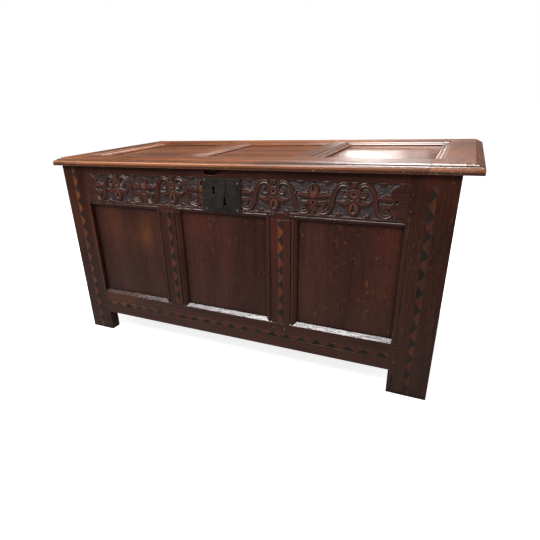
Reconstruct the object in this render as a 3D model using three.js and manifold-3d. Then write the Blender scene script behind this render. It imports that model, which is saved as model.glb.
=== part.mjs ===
// A joined oak coffer chest: a panelled box on four stiles that run down as legs, with a
// panelled lid on two wrought-iron strap hinges and an iron lock on the front.
// Sizes are in millimetres. X runs to the right along the front, Y to the back, Z up.

import * as THREE from "three";
import { ConvexGeometry } from "three/addons/geometries/ConvexGeometry.js";
import { mergeVertices } from "three/addons/utils/BufferGeometryUtils.js";
import Module from "manifold-3d";

const wasm = await Module();
wasm.setup();

// The carcass as a whole
const bodyWidth = 1240;
const bodyDepth = 595;
const bodyHeight = 623;

// Clearances shared by the whole piece
const jointGap = 0.3; // between a tenon and its mortise, a shoulder and its rail, a let-in piece and its bed
const overrun = 5; // how far a cutting shape runs past the face that it opens

// Stiles, whose lower ends are the legs
const leftStileWidth = 96;
const rightStileWidth = 109;
const stileDepth = 38;

// Front frame
const frontRailThickness = 28;
const topRailHeight = 133;
const bottomRailRise = 76; // from the ground to the underside of the bottom rails
const bottomRailHeight = 96;
const sillHeight = 11; // the chamfer on the top edge of the front bottom rail
const sillDepth = 10;
const leftMuntinFace = 52;
const rightMuntinFace = 59;
const muntinCentreShares = [0.3121, 0.6826]; // of the width between the front stiles
const frontPanelSunk = 13;
const muntinMouldWidth = 20;
const muntinMouldDepth = 9.5;
const railMouldHeight = 14;
const railMouldDepth = 9.5;

// Carved frieze on the front top rail: the ground is sunk round scrolls and flowers
const friezeTopBorder = 26; // plain wood above the ground
const friezeFootBorder = 6; // plain wood between the ground and the bead below it
const friezeSunk = 5.5;
const friezeGrooveDepth = 1.2; // of the line along the middle of each scroll
const friezeSeatWidth = 116; // left flat for the lock plate
const friezeFlowerShares = [ // of the width between the front stiles
  0.0271, 0.1271, 0.2329, 0.3372, 0.4415,
  0.5565, 0.6633, 0.772, 0.8744, 0.9758,
];

// Back and end frames
const backRailThickness = 26;
const backTopRailHeight = 120;
const backMuntinWidth = 92;
const backPanelSunk = 8;
const endRailThickness = 25;
const endTopRailHeight = 112;
const endMuntinWidth = 84;
const endPanelSunk = 9;
const endChamfer = 6;

// Panels of the carcass
const panelTongue = 6; // thickness of the edge that runs in the groove
const panelField = 11; // thickness of the middle
const panelBevelWidth = 28;
const panelInGroove = 9;
const grooveDepth = 12;

// Tenons of the carcass
const tenonThickness = 8;
const tenonSetback = 10; // from the show face to the tenon
const railTenonLength = 34;
const endTenonLength = 24;
const muntinTenonLength = 26;
const tenonHaunch = 20; // how much less than its rail a tenon is high, at the outer edge
const tenonShoulder = 17; // and at the edge beside the panel
const muntinTenonInset = 22;

// The quirk that makes a bead along the inner edge of each front stile
const beadWidth = 12;
const quirkWidth = 2.4;
const quirkDepth = 2.6;
const quirkFoot = 144;
const legQuirkTop = 62;

// Sawtooth bands let into the front
const bandWidth = 16;
const bandDepth = 3;
const bandBed = 1; // the thin lath that the teeth stand on
const stilePitches = [45.9, 49.9]; // from tooth to tooth, left stile then right
const muntinPitch = 46.3;
const railPitch = 48;
const stileFirstTooth = 21; // from the top of the band to the middle of its first tooth
const muntinFirstTooth = 12;
const railFirstTooth = 20; // from the right end
const toothBaseShare = 0.84; // of the pitch
const toothTipShare = 0.04;
const leftMuntinBandShift = 5;
const railBandRise = 35.5; // from the underside of the bottom rail to the base of its teeth
const stileBandTopShares = [0.985, 0.955]; // of the body's height, left stile then right
const bandEndMargin = 6;

// Floor of the chest
const floorRise = 22; // from the underside of the bottom rails to the underside of the boards
const floorThickness = 14;
const floorInGroove = 9;
const floorBoardCount = 4;
const floorGap = 0.8;

// Lid
const lidGap = 0.3; // between the lid and the top of the carcass
const lidLeftOverhang = 28;
const lidRightOverhang = 43;
const lidFrontOverhang = 13;
const lidBackInset = 2; // from the back of the carcass to the back edge of the lid
const lidThickness = 24;
const lidEndWidth = 112;
const lidFrontWidth = 112;
const lidBackWidth = 100;
const lidMuntinWidth = 94;
const lidMuntinCentreShares = [0.331, 0.689]; // of the width between the lid's end rails
const lidEdgeFace = 10.5; // height of the plain face below the edge moulding
const lidEdgeWidth = 21.5; // width of the edge moulding, seen from above
const lidWellWidth = 22; // width of the moulding round each lid panel
const lidWellDepth = 9;
const lidPanelSunk = 12;
const lidPanelTongue = 5;
const lidPanelField = 8;
const lidPanelBevelWidth = 24;
const lidPanelInGroove = 8;
const lidGrooveDepth = 10;
const lidTenonThickness = 7;
const lidTenonRise = 5; // from the underside of the lid to the tenon
const lidTenonInset = 20;
const lidRailTenonLength = 62;
const lidMuntinTenonLength = 40;

// Hinges
const hingeInset = 240; // from each end of the carcass to the middle of its hinge
const hingeWidth = 40;
const hingeThickness = 3;
const hingeKnuckleRadius = 6;
const hingeKnuckleWidth = 14; // of the leaf's knuckle, in the middle
const hingePinRadius = 2.7;
const hingePinHeadRadius = 4.6;
const hingePinHeadHeight = 2;
const headCrownShares = [0.72, 0.75]; // of a head's radius and height, where its crown begins
const hingeLeafLength = 98;
const hingeStrapLength = 84;
const hingeTipWidth = 24;

// Lock plate and the swinging cover of its second keyhole
const lockPlateWidth = 125;
const lockPlateHeight = 98;
const lockPlateThickness = 2;
const lockPlateDrop = 25; // from the top of the carcass to the top of the plate
const firstKeyholeOffset = -25; // from the middle of the plate
const firstKeyholeDrop = 24; // from the top of the plate
const keyholeHeight = 24;
const keyholeWidth = 9;
const keyholeWaist = 5;
const secondKeyholeOffset = 10;
const secondKeyholeDrop = 56;
const coverOffset = 6.5; // from the middle of the plate to the rivet
const coverDrop = 15; // from the top of the plate to the rivet
const coverWidth = 22;
const coverHead = 10; // from the rivet up to the top of the cover
const coverLength = 74; // from the rivet down to the tip
const coverThickness = 2;
const coverLean = 12; // degrees that the cover hangs out of plumb, its tip to the left
const rivetRadius = 2;
const rivetHeadRadius = 3.6;
const rivetHeadHeight = 2;

// Lock case in the top rail, its bolt, and the staple under the lid
const caseWidth = 94;
const caseRise = 22; // from the underside of the top rail to the bottom of the case
const caseDepth = 17;
const caseWall = 2;
const caseOffset = 0;
const caseDrop = 21; // from the top of the carcass to the top of the case
const boltLength = 58;
const boltHeight = 9;
const boltThickness = 5;
const boltClearance = 6; // from the staple to the end of the drawn bolt
const boltThrow = 15;
const boltNotchWidth = 12;
const boltNotchDepth = 3.5;
const guideWidth = 6;
const guideWall = 2.5;
const stapleOffset = -32; // from the middle of the body
const stapleThickness = 4;
const stapleWidth = 14;
const staplePlateLength = 38;
const staplePlateThickness = 3;
const stapleWall = 3; // iron round the eye
const stapleSwing = 2; // room round the staple for the arc that it swings in
const chipWidth = 64; // the worn notch in the top edge of the front rail
const chipHeight = 18;
const chipDepth = 11;
const chipSlope = 7;
const chipRunOut = 30; // the long slope at its right end
const chipLeftShare = 0.36; // of its width, to the left of the staple

// Numbers of steps in the curves
const boreSteps = 24;
const curveSteps = 6;

// Wood and iron
const oak = (colour) => new THREE.MeshStandardMaterial({ color: colour, roughness: 0.45, metalness: 0 });
const stileOak = oak(0x55302a);
const railOak = oak(0x4a2a25);
const panelOak = oak(0x5c362e);
const hiddenOak = oak(0x6b4a36);
const lidOak = oak(0x83563f);
const lidPanelOak = oak(0x8c5a40);
const bogOak = oak(0x2b2a27);
const iron = new THREE.MeshStandardMaterial({ color: 0x3b3a36, roughness: 0.55, metalness: 0.9 });
const wornIron = new THREE.MeshStandardMaterial({ color: 0x4b4944, roughness: 0.45, metalness: 0.9 });

const chest = new THREE.Group();
chest.name = "coffer_chest";

// Solids

// A geometry as a solid that can be joined and cut.
function solidOf(geometry) {
  const bare = geometry.clone();
  bare.deleteAttribute("normal");
  bare.deleteAttribute("uv");
  const merged = mergeVertices(bare);
  return new wasm.Manifold(new wasm.Mesh({
    numProp: 3,
    vertProperties: new Float32Array(merged.attributes.position.array),
    triVerts: new Uint32Array(merged.index.array),
  }));
}

// A rectangular block between two values along each axis.
function block({ x, y, z }) {
  const [width, depth, height] = [x, y, z].map(([low, high]) => high - low);
  const geometry = new THREE.BoxGeometry(width, depth, height);
  geometry.translate((x[0] + x[1]) / 2, (y[0] + y[1]) / 2, (z[0] + z[1]) / 2);
  return solidOf(geometry);
}

// The same block, larger by a clearance all round.
function grow(box, by) {
  const wider = ([low, high]) => [low - by, high + by];
  return { x: wider(box.x), y: wider(box.y), z: wider(box.z) };
}

// An outline of points or a shape, drawn out along one axis. Along X the outline is in Y and Z,
// along Y it is in X and Z, and along Z it is in X and Y.
function drawnOut(outline, axis, [low, high]) {
  const isShape = outline instanceof THREE.Shape;
  const shape = isShape ? outline : new THREE.Shape(outline.map(([u, v]) => new THREE.Vector2(u, v)));
  const geometry = new THREE.ExtrudeGeometry(shape, {
    depth: high - low,
    bevelEnabled: false,
    curveSegments: boreSteps,
  });
  const right = new THREE.Vector3(1, 0, 0);
  const back = new THREE.Vector3(0, 1, 0);
  const up = new THREE.Vector3(0, 0, 1);
  const turn = new THREE.Matrix4();
  if (axis === "x") turn.makeBasis(back, up, right).setPosition(low, 0, 0);
  if (axis === "y") turn.makeBasis(right, up, back.clone().negate()).setPosition(0, high, 0);
  if (axis === "z") turn.setPosition(0, 0, low);
  geometry.applyMatrix4(turn);
  return solidOf(geometry);
}

// A round bar along one axis.
function bar(axis, [u, v], radius, [low, high]) {
  const shape = new THREE.Shape();
  shape.absarc(u, v, radius, 0, 2 * Math.PI);
  return drawnOut(shape, axis, [low, high]);
}

const joined = (solids) => solids.reduce((whole, solid) => whole.add(solid));
const cutBy = (solid, cutters) => cutters.reduce((rest, cutter) => rest.subtract(cutter), solid);

// Puts a finished solid into the chest under its name.
function place(name, solid, material, parent = chest) {
  const { vertProperties, triVerts } = solid.getMesh();
  const geometry = new THREE.BufferGeometry();
  geometry.setAttribute("position", new THREE.BufferAttribute(vertProperties, 3));
  geometry.setIndex(new THREE.BufferAttribute(triVerts, 1));
  geometry.computeVertexNormals();
  const mesh = new THREE.Mesh(geometry, material);
  mesh.name = name;
  parent.add(mesh);
  return mesh;
}

// Places that several pieces share

const frontX = [leftStileWidth, bodyWidth - rightStileWidth]; // between the stiles
const frontSpan = frontX[1] - frontX[0];
const topRailZ = [bodyHeight - topRailHeight, bodyHeight];
const bottomRailZ = [bottomRailRise, bottomRailRise + bottomRailHeight];
const frontRailY = [0, frontRailThickness];
const backY = bodyDepth - backRailThickness;
const backRailY = [backY, bodyDepth];
const backTopRailZ = [bodyHeight - backTopRailHeight, bodyHeight];
const endTopRailZ = [bodyHeight - endTopRailHeight, bodyHeight];
const endY = [stileDepth, bodyDepth - stileDepth]; // between a front and a back stile
const muntinFaces = muntinCentreShares.map((share, number) => {
  const centre = frontX[0] + share * frontSpan;
  const face = number === 0 ? leftMuntinFace : rightMuntinFace;
  return [centre - face / 2, centre + face / 2];
});
const muntinX = muntinFaces.map(([low, high]) => [low - muntinMouldWidth, high + muntinMouldWidth]);
const frontPanelX = [
  [frontX[0], muntinX[0][0]],
  [muntinX[0][1], muntinX[1][0]],
  [muntinX[1][1], frontX[1]],
];
const backPanelWidth = (frontSpan - 2 * backMuntinWidth) / 3;
const backMuntinX = [
  [frontX[0] + backPanelWidth, frontX[0] + backPanelWidth + backMuntinWidth],
  [frontX[1] - backPanelWidth - backMuntinWidth, frontX[1] - backPanelWidth],
];
const backPanelX = [
  [frontX[0], backMuntinX[0][0]],
  [backMuntinX[0][1], backMuntinX[1][0]],
  [backMuntinX[1][1], frontX[1]],
];
const endMuntinY = [(bodyDepth - endMuntinWidth) / 2, (bodyDepth + endMuntinWidth) / 2];
const endPanelY = [
  [endY[0], endMuntinY[0]],
  [endMuntinY[1], endY[1]],
];
const panelZ = [bottomRailZ[1], topRailZ[0]];

// Tenons, as boxes from just inside their own piece to their ends. The mortise is the same box,
// larger by the joint's gap.

const tenonY = [tenonSetback, tenonSetback + tenonThickness];
const backTenonY = [bodyDepth - tenonSetback - tenonThickness, bodyDepth - tenonSetback];
const topTenonZ = ([low, high]) => [low + tenonShoulder, high - tenonHaunch];
const bottomTenonZ = ([low, high]) => [low + tenonHaunch / 2, high - tenonShoulder];

function railTenons(y, z) {
  return [
    { x: [frontX[0] - railTenonLength, frontX[0] + overrun], y, z },
    { x: [frontX[1] - overrun, frontX[1] + railTenonLength], y, z },
  ];
}

const frontTopTenons = railTenons(tenonY, topTenonZ(topRailZ));
const frontBottomTenons = railTenons(tenonY, bottomTenonZ(bottomRailZ));
const backTopTenons = railTenons(backTenonY, topTenonZ(backTopRailZ));
const backBottomTenons = railTenons(backTenonY, bottomTenonZ(bottomRailZ));

function muntinTenons([low, high], y, topZ) {
  const x = [low + muntinTenonInset, high - muntinTenonInset];
  return [
    { x, y, z: [topZ - overrun, topZ + muntinTenonLength] },
    { x, y, z: [panelZ[0] - muntinTenonLength, panelZ[0] + overrun] },
  ];
}

const frontMuntinTenons = muntinX.map((x) => muntinTenons(x, tenonY, topRailZ[0]));
const backMuntinTenons = backMuntinX.map((x) => muntinTenons(x, backTenonY, backTopRailZ[0]));

// The ends of the chest mirror each other about the middle of its width.
const endSides = ["left", "right"];
function acrossX(side, [low, high]) {
  return side === "left" ? [low, high] : [bodyWidth - high, bodyWidth - low];
}
const endTenonX = (side) => acrossX(side, [tenonSetback, tenonSetback + tenonThickness]);

function endTenons(side, z) {
  const x = endTenonX(side);
  return [
    { x, y: [endY[0] - endTenonLength, endY[0] + overrun], z },
    { x, y: [endY[1] - overrun, endY[1] + endTenonLength], z },
  ];
}

function endMuntinTenons(side) {
  const x = endTenonX(side);
  const y = [endMuntinY[0] + muntinTenonInset, endMuntinY[1] - muntinTenonInset];
  return [
    { x, y, z: [endTopRailZ[0] - overrun, endTopRailZ[0] + muntinTenonLength] },
    { x, y, z: [panelZ[0] - muntinTenonLength, panelZ[0] + overrun] },
  ];
}

// Grooves for the panels, as boxes inside the edge of the piece that they are ploughed in.
const grooveAt = ([low, high]) => [low - jointGap, high + jointGap];
const frontGrooveY = grooveAt([frontPanelSunk, frontPanelSunk + panelTongue]);
const backGrooveY = grooveAt([bodyDepth - backPanelSunk - panelTongue, bodyDepth - backPanelSunk]);
const endGrooveX = (side) => grooveAt(acrossX(side, [endPanelSunk, endPanelSunk + panelTongue]));
const inGroove = ([low, high]) => [low - grooveDepth, high + grooveDepth];

// A groove cut out of every piece that a panel's edges run in: the whole space that the panel and
// its groove fill, so one box serves rails, muntins and stiles alike.
const frontPanelSpaces = frontPanelX.map((x) => ({ x: inGroove(x), y: frontGrooveY, z: inGroove(panelZ) }));
const backPanelZ = [bottomRailZ[1], backTopRailZ[0]];
const backPanelSpaces = backPanelX.map((x) => ({ x: inGroove(x), y: backGrooveY, z: inGroove(backPanelZ) }));
const endPanelZ = [bottomRailZ[1], endTopRailZ[0]];
const endPanelSpaces = (side) =>
  endPanelY.map((y) => ({ x: endGrooveX(side), y: inGroove(y), z: inGroove(endPanelZ) }));

// Mouldings. A profile is a list of [offset, depth]: how far from the panel's edge, and how deep
// below the show face, from the face down to the foot. The tables hold shares of width and depth.

const muntinMouldShares = [
  [1, 0], [1, 0.3], [0.88, 0.3],
  [0.84, 0.13], [0.75, 0.04], [0.64, 0.02], [0.53, 0.05], [0.46, 0.16], [0.43, 0.36],
  [0.33, 0.4], [0.22, 0.5], [0.12, 0.68], [0.05, 0.86], [0, 1],
];
const railMouldShares = [
  [1, 0], [1, 0.546],
  [0.973, 0.345], [0.895, 0.174], [0.78, 0.06], [0.643, 0.02], [0.506, 0.06], [0.391, 0.174],
  [0.313, 0.345], [0.29, 0.46], [0.2, 0.46],
  [0.14, 0.55], [0.06, 0.75], [0, 1],
];
const lidWellShares = [
  [1, 0], [1, 0.18], [0.9, 0.2],
  [0.78, 0.23], [0.64, 0.33], [0.53, 0.48], [0.47, 0.68],
  [0.34, 0.68], [0.26, 0.7], [0.18, 0.76], [0.1, 0.86], [0, 1],
];

function profile(shares, width, depth) {
  return shares.map(([across, down]) => [across * width, down * depth]);
}

const plainEdge = (depth) => [[0, 0], [0, depth]];
const slope = (width, depth) => [[width, 0], [0, depth]];

// The outline of the space in front of a panel, between the mouldings at its low and high edges:
// points [place, depth], open at the face.
function wellOutline([low, high], lowProfile, highProfile) {
  const lowSide = lowProfile.map(([offset, depth]) => [low - offset, depth]);
  const highSide = highProfile.map(([offset, depth]) => [high + offset, depth]);
  const [lowMouth] = lowSide;
  const [highMouth] = highSide;
  const points = [[lowMouth[0], -overrun], ...lowSide, ...highSide.reverse(), [highMouth[0], -overrun]];
  return points.filter(([u, v], number) => {
    const [before] = number > 0 ? [points[number - 1]] : [[Infinity, Infinity]];
    return Math.hypot(u - before[0], v - before[1]) > 0;
  });
}

// The moulded well in front of a panel of the front: where the two outlines cross, the mouldings
// meet in a mitre.
const muntinMould = profile(muntinMouldShares, muntinMouldWidth, muntinMouldDepth);
const railMould = profile(railMouldShares, railMouldHeight, railMouldDepth);
const frontWells = frontPanelX.map((x, number) => {
  const lowMould = number === 0 ? plainEdge(muntinMouldDepth) : muntinMould;
  const highMould = number === 2 ? plainEdge(muntinMouldDepth) : muntinMould;
  const acrossWell = wellOutline(x, lowMould, highMould);
  const upWell = wellOutline(panelZ, slope(sillHeight, sillDepth), railMould);
  const tall = inGroove(panelZ.map((z, end) => (end === 0 ? z - sillHeight : z + railMouldHeight)));
  const wide = inGroove([x[0] - muntinMouldWidth, x[1] + muntinMouldWidth]);
  const across = drawnOut(acrossWell, "z", tall);
  const upwards = drawnOut(upWell.map(([z, y]) => [y, z]), "x", wide);
  return across.intersect(upwards);
});

// A panel with its middle raised on the hidden side and its edges feathered to run in grooves.
// The middle is lofted between the tongue's rectangle and a smaller one.
function raisedPanel(toSpace, wide, high, thickness) {
  const { tongue, field, bevelWidth, edge } = thickness;
  const corners = (u, v, depth) =>
    [[u[0], v[0]], [u[1], v[0]], [u[1], v[1]], [u[0], v[1]]].map(([a, b]) => toSpace(a, b, depth));
  const inset = ([low, high_], by) => [low + by, high_ - by];
  const sheet = new ConvexGeometry([
    ...corners(inset(wide, -edge), inset(high, -edge), 0),
    ...corners(inset(wide, -edge), inset(high, -edge), tongue),
  ]);
  const clear = tongue / 2;
  const raised = new ConvexGeometry([
    ...corners(inset(wide, clear), inset(high, clear), clear),
    ...corners(inset(wide, clear), inset(high, clear), tongue),
    ...corners(inset(wide, bevelWidth), inset(high, bevelWidth), field),
  ]);
  return solidOf(sheet).add(solidOf(raised));
}

const bodyPanel = {
  tongue: panelTongue,
  field: panelField,
  bevelWidth: panelBevelWidth,
  edge: panelInGroove,
};

// Flat shapes, to be drawn out or cut in.

const flatShape = (points) => new wasm.CrossSection([points], "NonZero");

function flatRectangle([left, right], [low, high]) {
  return flatShape([[left, low], [right, low], [right, high], [left, high]]);
}

// Sawtooth bands

// Where each band runs: the length that its teeth share, and the line that their bases stand on.
const stileBands = [
  { x: leftStileWidth / 2 + bandWidth / 2, facing: -1, top: stileBandTopShares[0] * bodyHeight },
  {
    x: bodyWidth - rightStileWidth / 2 - bandWidth / 2,
    facing: 1,
    top: stileBandTopShares[1] * bodyHeight,
  },
];
const stileTeeth = stilePitches.map((pitch) => ({ pitch, first: stileFirstTooth }));
const muntinBands = muntinFaces.map(([low, high], number) => ({
  x: (low + high) / 2 + bandWidth / 2 + (number === 0 ? leftMuntinBandShift : 0),
  facing: -1,
}));
const muntinTeeth = { pitch: muntinPitch, first: muntinFirstTooth };

// The teeth of a band, drawn along and across it: along is the direction that the band runs in, and
// the teeth are set out from its far end. One that runs past an end is cut off there, and the last
// is the last that still reaches into the band.
function bandTeeth(length, { pitch, first }) {
  const band = flatRectangle([0, length], [0, bandWidth]);
  const [base, tip] = [pitch * toothBaseShare, pitch * toothTipShare];
  const count = Math.floor((length - first + base / 2 - jointGap) / pitch) + 1;
  return Array.from({ length: count }, (_, number) => {
    const middle = length - first - number * pitch;
    const tooth = flatShape([
      [middle - base / 2, 0],
      [middle + base / 2, 0],
      [middle + tip / 2, bandWidth],
      [middle - tip / 2, bandWidth],
    ]);
    return tooth.intersect(band).toPolygons()[0];
  });
}

// toFace turns a point along and across the band into X and Z on the front.
function bandSolid(length, toFace, teeth) {
  const bedOutline = [[0, 0], [length, 0], [length, bandWidth], [0, bandWidth]].map(toFace);
  const bed = drawnOut(bedOutline, "y", [bandDepth - bandBed, bandDepth]);
  const raised = bandTeeth(length, teeth).map((outline) =>
    drawnOut(outline.map(toFace), "y", [0, bandDepth - bandBed / 2]));
  return joined([bed, ...raised]);
}

function bandChannel(length, toFace) {
  const along = [-jointGap, length + jointGap];
  const across = [-jointGap, bandWidth + jointGap];
  const ends = [[along[0], across[0]], [along[1], across[0]], [along[1], across[1]], [along[0], across[1]]];
  return drawnOut(ends.map(toFace), "y", [-overrun, bandDepth + jointGap]);
}

function uprightBand({ x, facing }, [low, high], teeth) {
  const toFace = ([along, across]) => [x + facing * across, low + along];
  return { solid: bandSolid(high - low, toFace, teeth), channel: bandChannel(high - low, toFace) };
}

function levelBand([low, high], z, teeth) {
  const toFace = ([along, across]) => [low + along, z + across];
  return { solid: bandSolid(high - low, toFace, teeth), channel: bandChannel(high - low, toFace) };
}

const bandGap = jointGap + bandBed; // keeps the ends of a band off the shoulders beside it
const muntinBandZ = [panelZ[0] - sillHeight + bandEndMargin, panelZ[1] - bandGap];
const frontBands = {
  left_stile_inlay: uprightBand(stileBands[0], [bandEndMargin, stileBands[0].top], stileTeeth[0]),
  right_stile_inlay: uprightBand(stileBands[1], [bandEndMargin, stileBands[1].top], stileTeeth[1]),
  left_muntin_inlay: uprightBand(muntinBands[0], muntinBandZ, muntinTeeth),
  right_muntin_inlay: uprightBand(muntinBands[1], muntinBandZ, muntinTeeth),
  bottom_rail_inlay: levelBand(
    [frontX[0] + jointGap + bandGap, frontX[1] - jointGap - bandGap],
    bottomRailZ[0] + railBandRise,
    { pitch: railPitch, first: railFirstTooth },
  ),
};

// Carved frieze
//
// Flowers hang from the top border and stand on the lower one by turns, and a scroll runs from the
// shoulder of each hanging flower to the foot of each standing one beside it. The tables hold shares
// of the ground's height, but for the places along a scroll, which are shares of the distance
// between its two flowers.

const scrollShares = [ // [along, up, half the scroll's width]
  [0.255, 0.747, 0.025], [0.286, 0.667, 0.034], [0.236, 0.603, 0.04], [0.159, 0.626, 0.046],
  [0.114, 0.724, 0.048], [0.118, 0.839, 0.05], [0.182, 0.925, 0.053], [0.282, 0.937, 0.057],
  [0.382, 0.874, 0.062], [0.455, 0.741, 0.066], [0.505, 0.575, 0.068], [0.523, 0.414, 0.068],
  [0.555, 0.253, 0.066], [0.618, 0.132, 0.062], [0.709, 0.063, 0.057], [0.809, 0.057, 0.052],
  [0.891, 0.126, 0.048], [0.918, 0.241, 0.045], [0.873, 0.345, 0.042], [0.8, 0.368, 0.038],
  [0.745, 0.305, 0.033], [0.764, 0.23, 0.028], [0.809, 0.224, 0.022],
];
const scrollSpurShares = [ // two small thorns on each scroll, as [along, up]
  [[0.518, 0.575], [0.536, 0.437], [0.582, 0.724]],
  [[0.509, 0.46], [0.545, 0.322], [0.455, 0.253]],
];
const hangingFlower = {
  petal: { up: 0.264, across: 0.178, high: 0.23 },
  heart: { up: 0.655, across: 0.16, high: 0.15 },
  stem: [[0.1, 1.02], [0.07, 0.85]],
  leaves: [[
    [0.05, 0.42], [0.17, 0.34], [0.293, 0.3], [0.408, 0.345], [0.477, 0.414], [0.5, 0.471],
    [0.385, 0.448], [0.247, 0.46], [0.14, 0.53],
  ]],
  drop: { low: 0.126, high: 0.368, across: 0.06 },
  eye: { up: 0.655, radius: 0.045 },
  lobe: { up: 0, away: 0.437, radius: 0.098 },
};
const standingFlower = {
  petal: { up: 0.7, across: 0.178, high: 0.24 },
  heart: { up: 0.38, across: 0.165, high: 0.12 },
  stem: [[0.055, 0.32], [0.075, -0.02]],
  leaves: [
    [[0.1, 0.52], [0.19, 0.52], [0.4, 0.53], [0.5, 0.58], [0.49, 0.62], [0.33, 0.68], [0.12, 0.64]],
    [[0.1, 0.3], [0.15, 0.3], [0.285, 0.275], [0.375, 0.29], [0.39, 0.35], [0.33, 0.41], [0.12, 0.4]],
  ],
  drop: { low: 0.7, high: 0.897, across: 0.052 },
  eye: { up: 0.368, radius: 0.035 },
  lobe: { up: 1, away: 0.414, radius: 0.1 },
};
const endEye = { up: 0.5, radius: 0.035 };
const scrollGrooveShare = 0.2; // of the scroll's width
const friezeTolerance = 0.18;

const friezeZ = [topRailZ[0] + railMouldHeight + friezeFootBorder, bodyHeight - friezeTopBorder];
const friezeHeight = friezeZ[1] - friezeZ[0];
const friezeFlowerX = friezeFlowerShares.map((share) => frontX[0] + share * frontSpan);
const friezeSeatX = [(bodyWidth - friezeSeatWidth) / 2, (bodyWidth + friezeSeatWidth) / 2];

const upTo = (share) => friezeZ[0] + share * friezeHeight;

// An ellipse round a place in the frieze. Its size is in shares of the ground's height.
function flatOval(x, up, across, high) {
  const points = Array.from({ length: boreSteps }, (_, step) => {
    const angle = (2 * Math.PI * step) / boreSteps;
    return [x + across * friezeHeight * Math.cos(angle), upTo(up + high * Math.sin(angle))];
  });
  return flatShape(points);
}

// A drop, round below and drawn to a point above.
function flatDrop(x, { low, high, across }) {
  const middle = low + across;
  const points = Array.from({ length: curveSteps + 1 }, (_, step) => {
    const angle = Math.PI * (1 + step / curveSteps);
    return [x + across * friezeHeight * Math.cos(angle), upTo(middle + across * Math.sin(angle))];
  });
  return flatShape([...points, [x, upTo(high)]]);
}

// A scroll from its hanging flower to its standing one: discs along a curve, each joined to the next.
function flatScroll([hanging, standing], widthShare) {
  const span = standing - hanging;
  const line = new THREE.CatmullRomCurve3(scrollShares.map(([along, up, half]) =>
    new THREE.Vector3(hanging + along * span, upTo(up), half * friezeHeight * widthShare)));
  const discs = line.getPoints(2 * (scrollShares.length - 1)).map(({ x, y, z }) => {
    const disc = Array.from({ length: 2 * curveSteps }, (_, step) => {
      const angle = (Math.PI * step) / curveSteps;
      return [x + z * Math.cos(angle), y + z * Math.sin(angle)];
    });
    return flatShape(disc);
  });
  const links = discs.slice(1).map((disc, number) => wasm.CrossSection.hull([discs[number], disc]));
  return wasm.CrossSection.union(links);
}

function flatSpurs([hanging, standing]) {
  const span = standing - hanging;
  return scrollSpurShares.map((points) =>
    flatShape(points.map(([along, up]) => [hanging + along * span, upTo(up)])));
}

function flatFlower(x, { petal, heart, stem, leaves, lobe }) {
  const shapes = [
    flatOval(x, petal.up, petal.across, petal.high),
    flatOval(x, heart.up, heart.across, heart.high),
  ];
  [-1, 1].forEach((side) => {
    leaves.forEach((leaf) => {
      shapes.push(flatShape(leaf.map(([across, up]) => [x + side * across * friezeHeight, upTo(up)])));
    });
    const away = side * lobe.away * friezeHeight;
    shapes.push(flatOval(x + away, lobe.up, lobe.radius, lobe.radius));
  });
  const right = stem.map(([across, up]) => [x + across * friezeHeight, upTo(up)]);
  const left = stem.map(([across, up]) => [x - across * friezeHeight, upTo(up)]);
  shapes.push(flatShape([...right, ...left.reverse()]));
  return wasm.CrossSection.union(shapes);
}

function flatHoles(x, { drop, eye }) {
  return [flatDrop(x, drop), flatOval(x, eye.up, eye.radius, eye.radius)];
}

// A flat shape in X and Z, cut into the front face to a depth.
function intoFront(shape, depth) {
  const drawn = shape.simplify(friezeTolerance).extrude(overrun + depth);
  return drawn.rotate([90, 0, 0]).translate([0, depth, 0]);
}

// Everything that the carver takes out of the frieze: the ground round the pattern, the holes in
// the flowers, and the groove along each scroll.
function friezeCuts() {
  const last = friezeFlowerX.length - 1;
  const flowers = friezeFlowerX.map((x, number) => {
    const isEnd = number === 0 || number === last;
    const fromLeft = number < friezeFlowerX.length / 2 ? number : last - number;
    return { x, isEnd, form: fromLeft % 2 === 0 ? standingFlower : hangingFlower };
  });
  const spans = [];
  flowers.slice(1).forEach((flower, number) => {
    const before = flowers[number];
    if (before.form === flower.form) return;
    const hangs = before.form === hangingFlower;
    spans.push(hangs ? [before.x, flower.x] : [flower.x, before.x]);
  });
  const relief = wasm.CrossSection.union([
    ...flowers.map(({ x, form }) => flatFlower(x, form)),
    ...spans.map((span) => flatScroll(span, 1)),
    ...spans.flatMap(flatSpurs),
    flatRectangle([frontX[0], friezeFlowerX[0]], friezeZ),
    flatRectangle([friezeFlowerX[last], frontX[1]], friezeZ),
    flatRectangle(friezeSeatX, friezeZ),
  ]);
  const ground = flatRectangle(frontX, friezeZ).subtract(relief);
  const seat = flatRectangle(friezeSeatX, friezeZ);
  const holes = flowers.flatMap(({ x, isEnd, form }) =>
    (isEnd ? [flatOval(x, endEye.up, endEye.radius, endEye.radius)] : flatHoles(x, form)));
  const grooves = wasm.CrossSection.union(spans.map((span) => flatScroll(span, scrollGrooveShare)));
  return [
    intoFront(wasm.CrossSection.union([ground, ...holes]).subtract(seat), friezeSunk),
    intoFront(grooves.subtract(seat), friezeGrooveDepth),
  ];
}

// Lid

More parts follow.
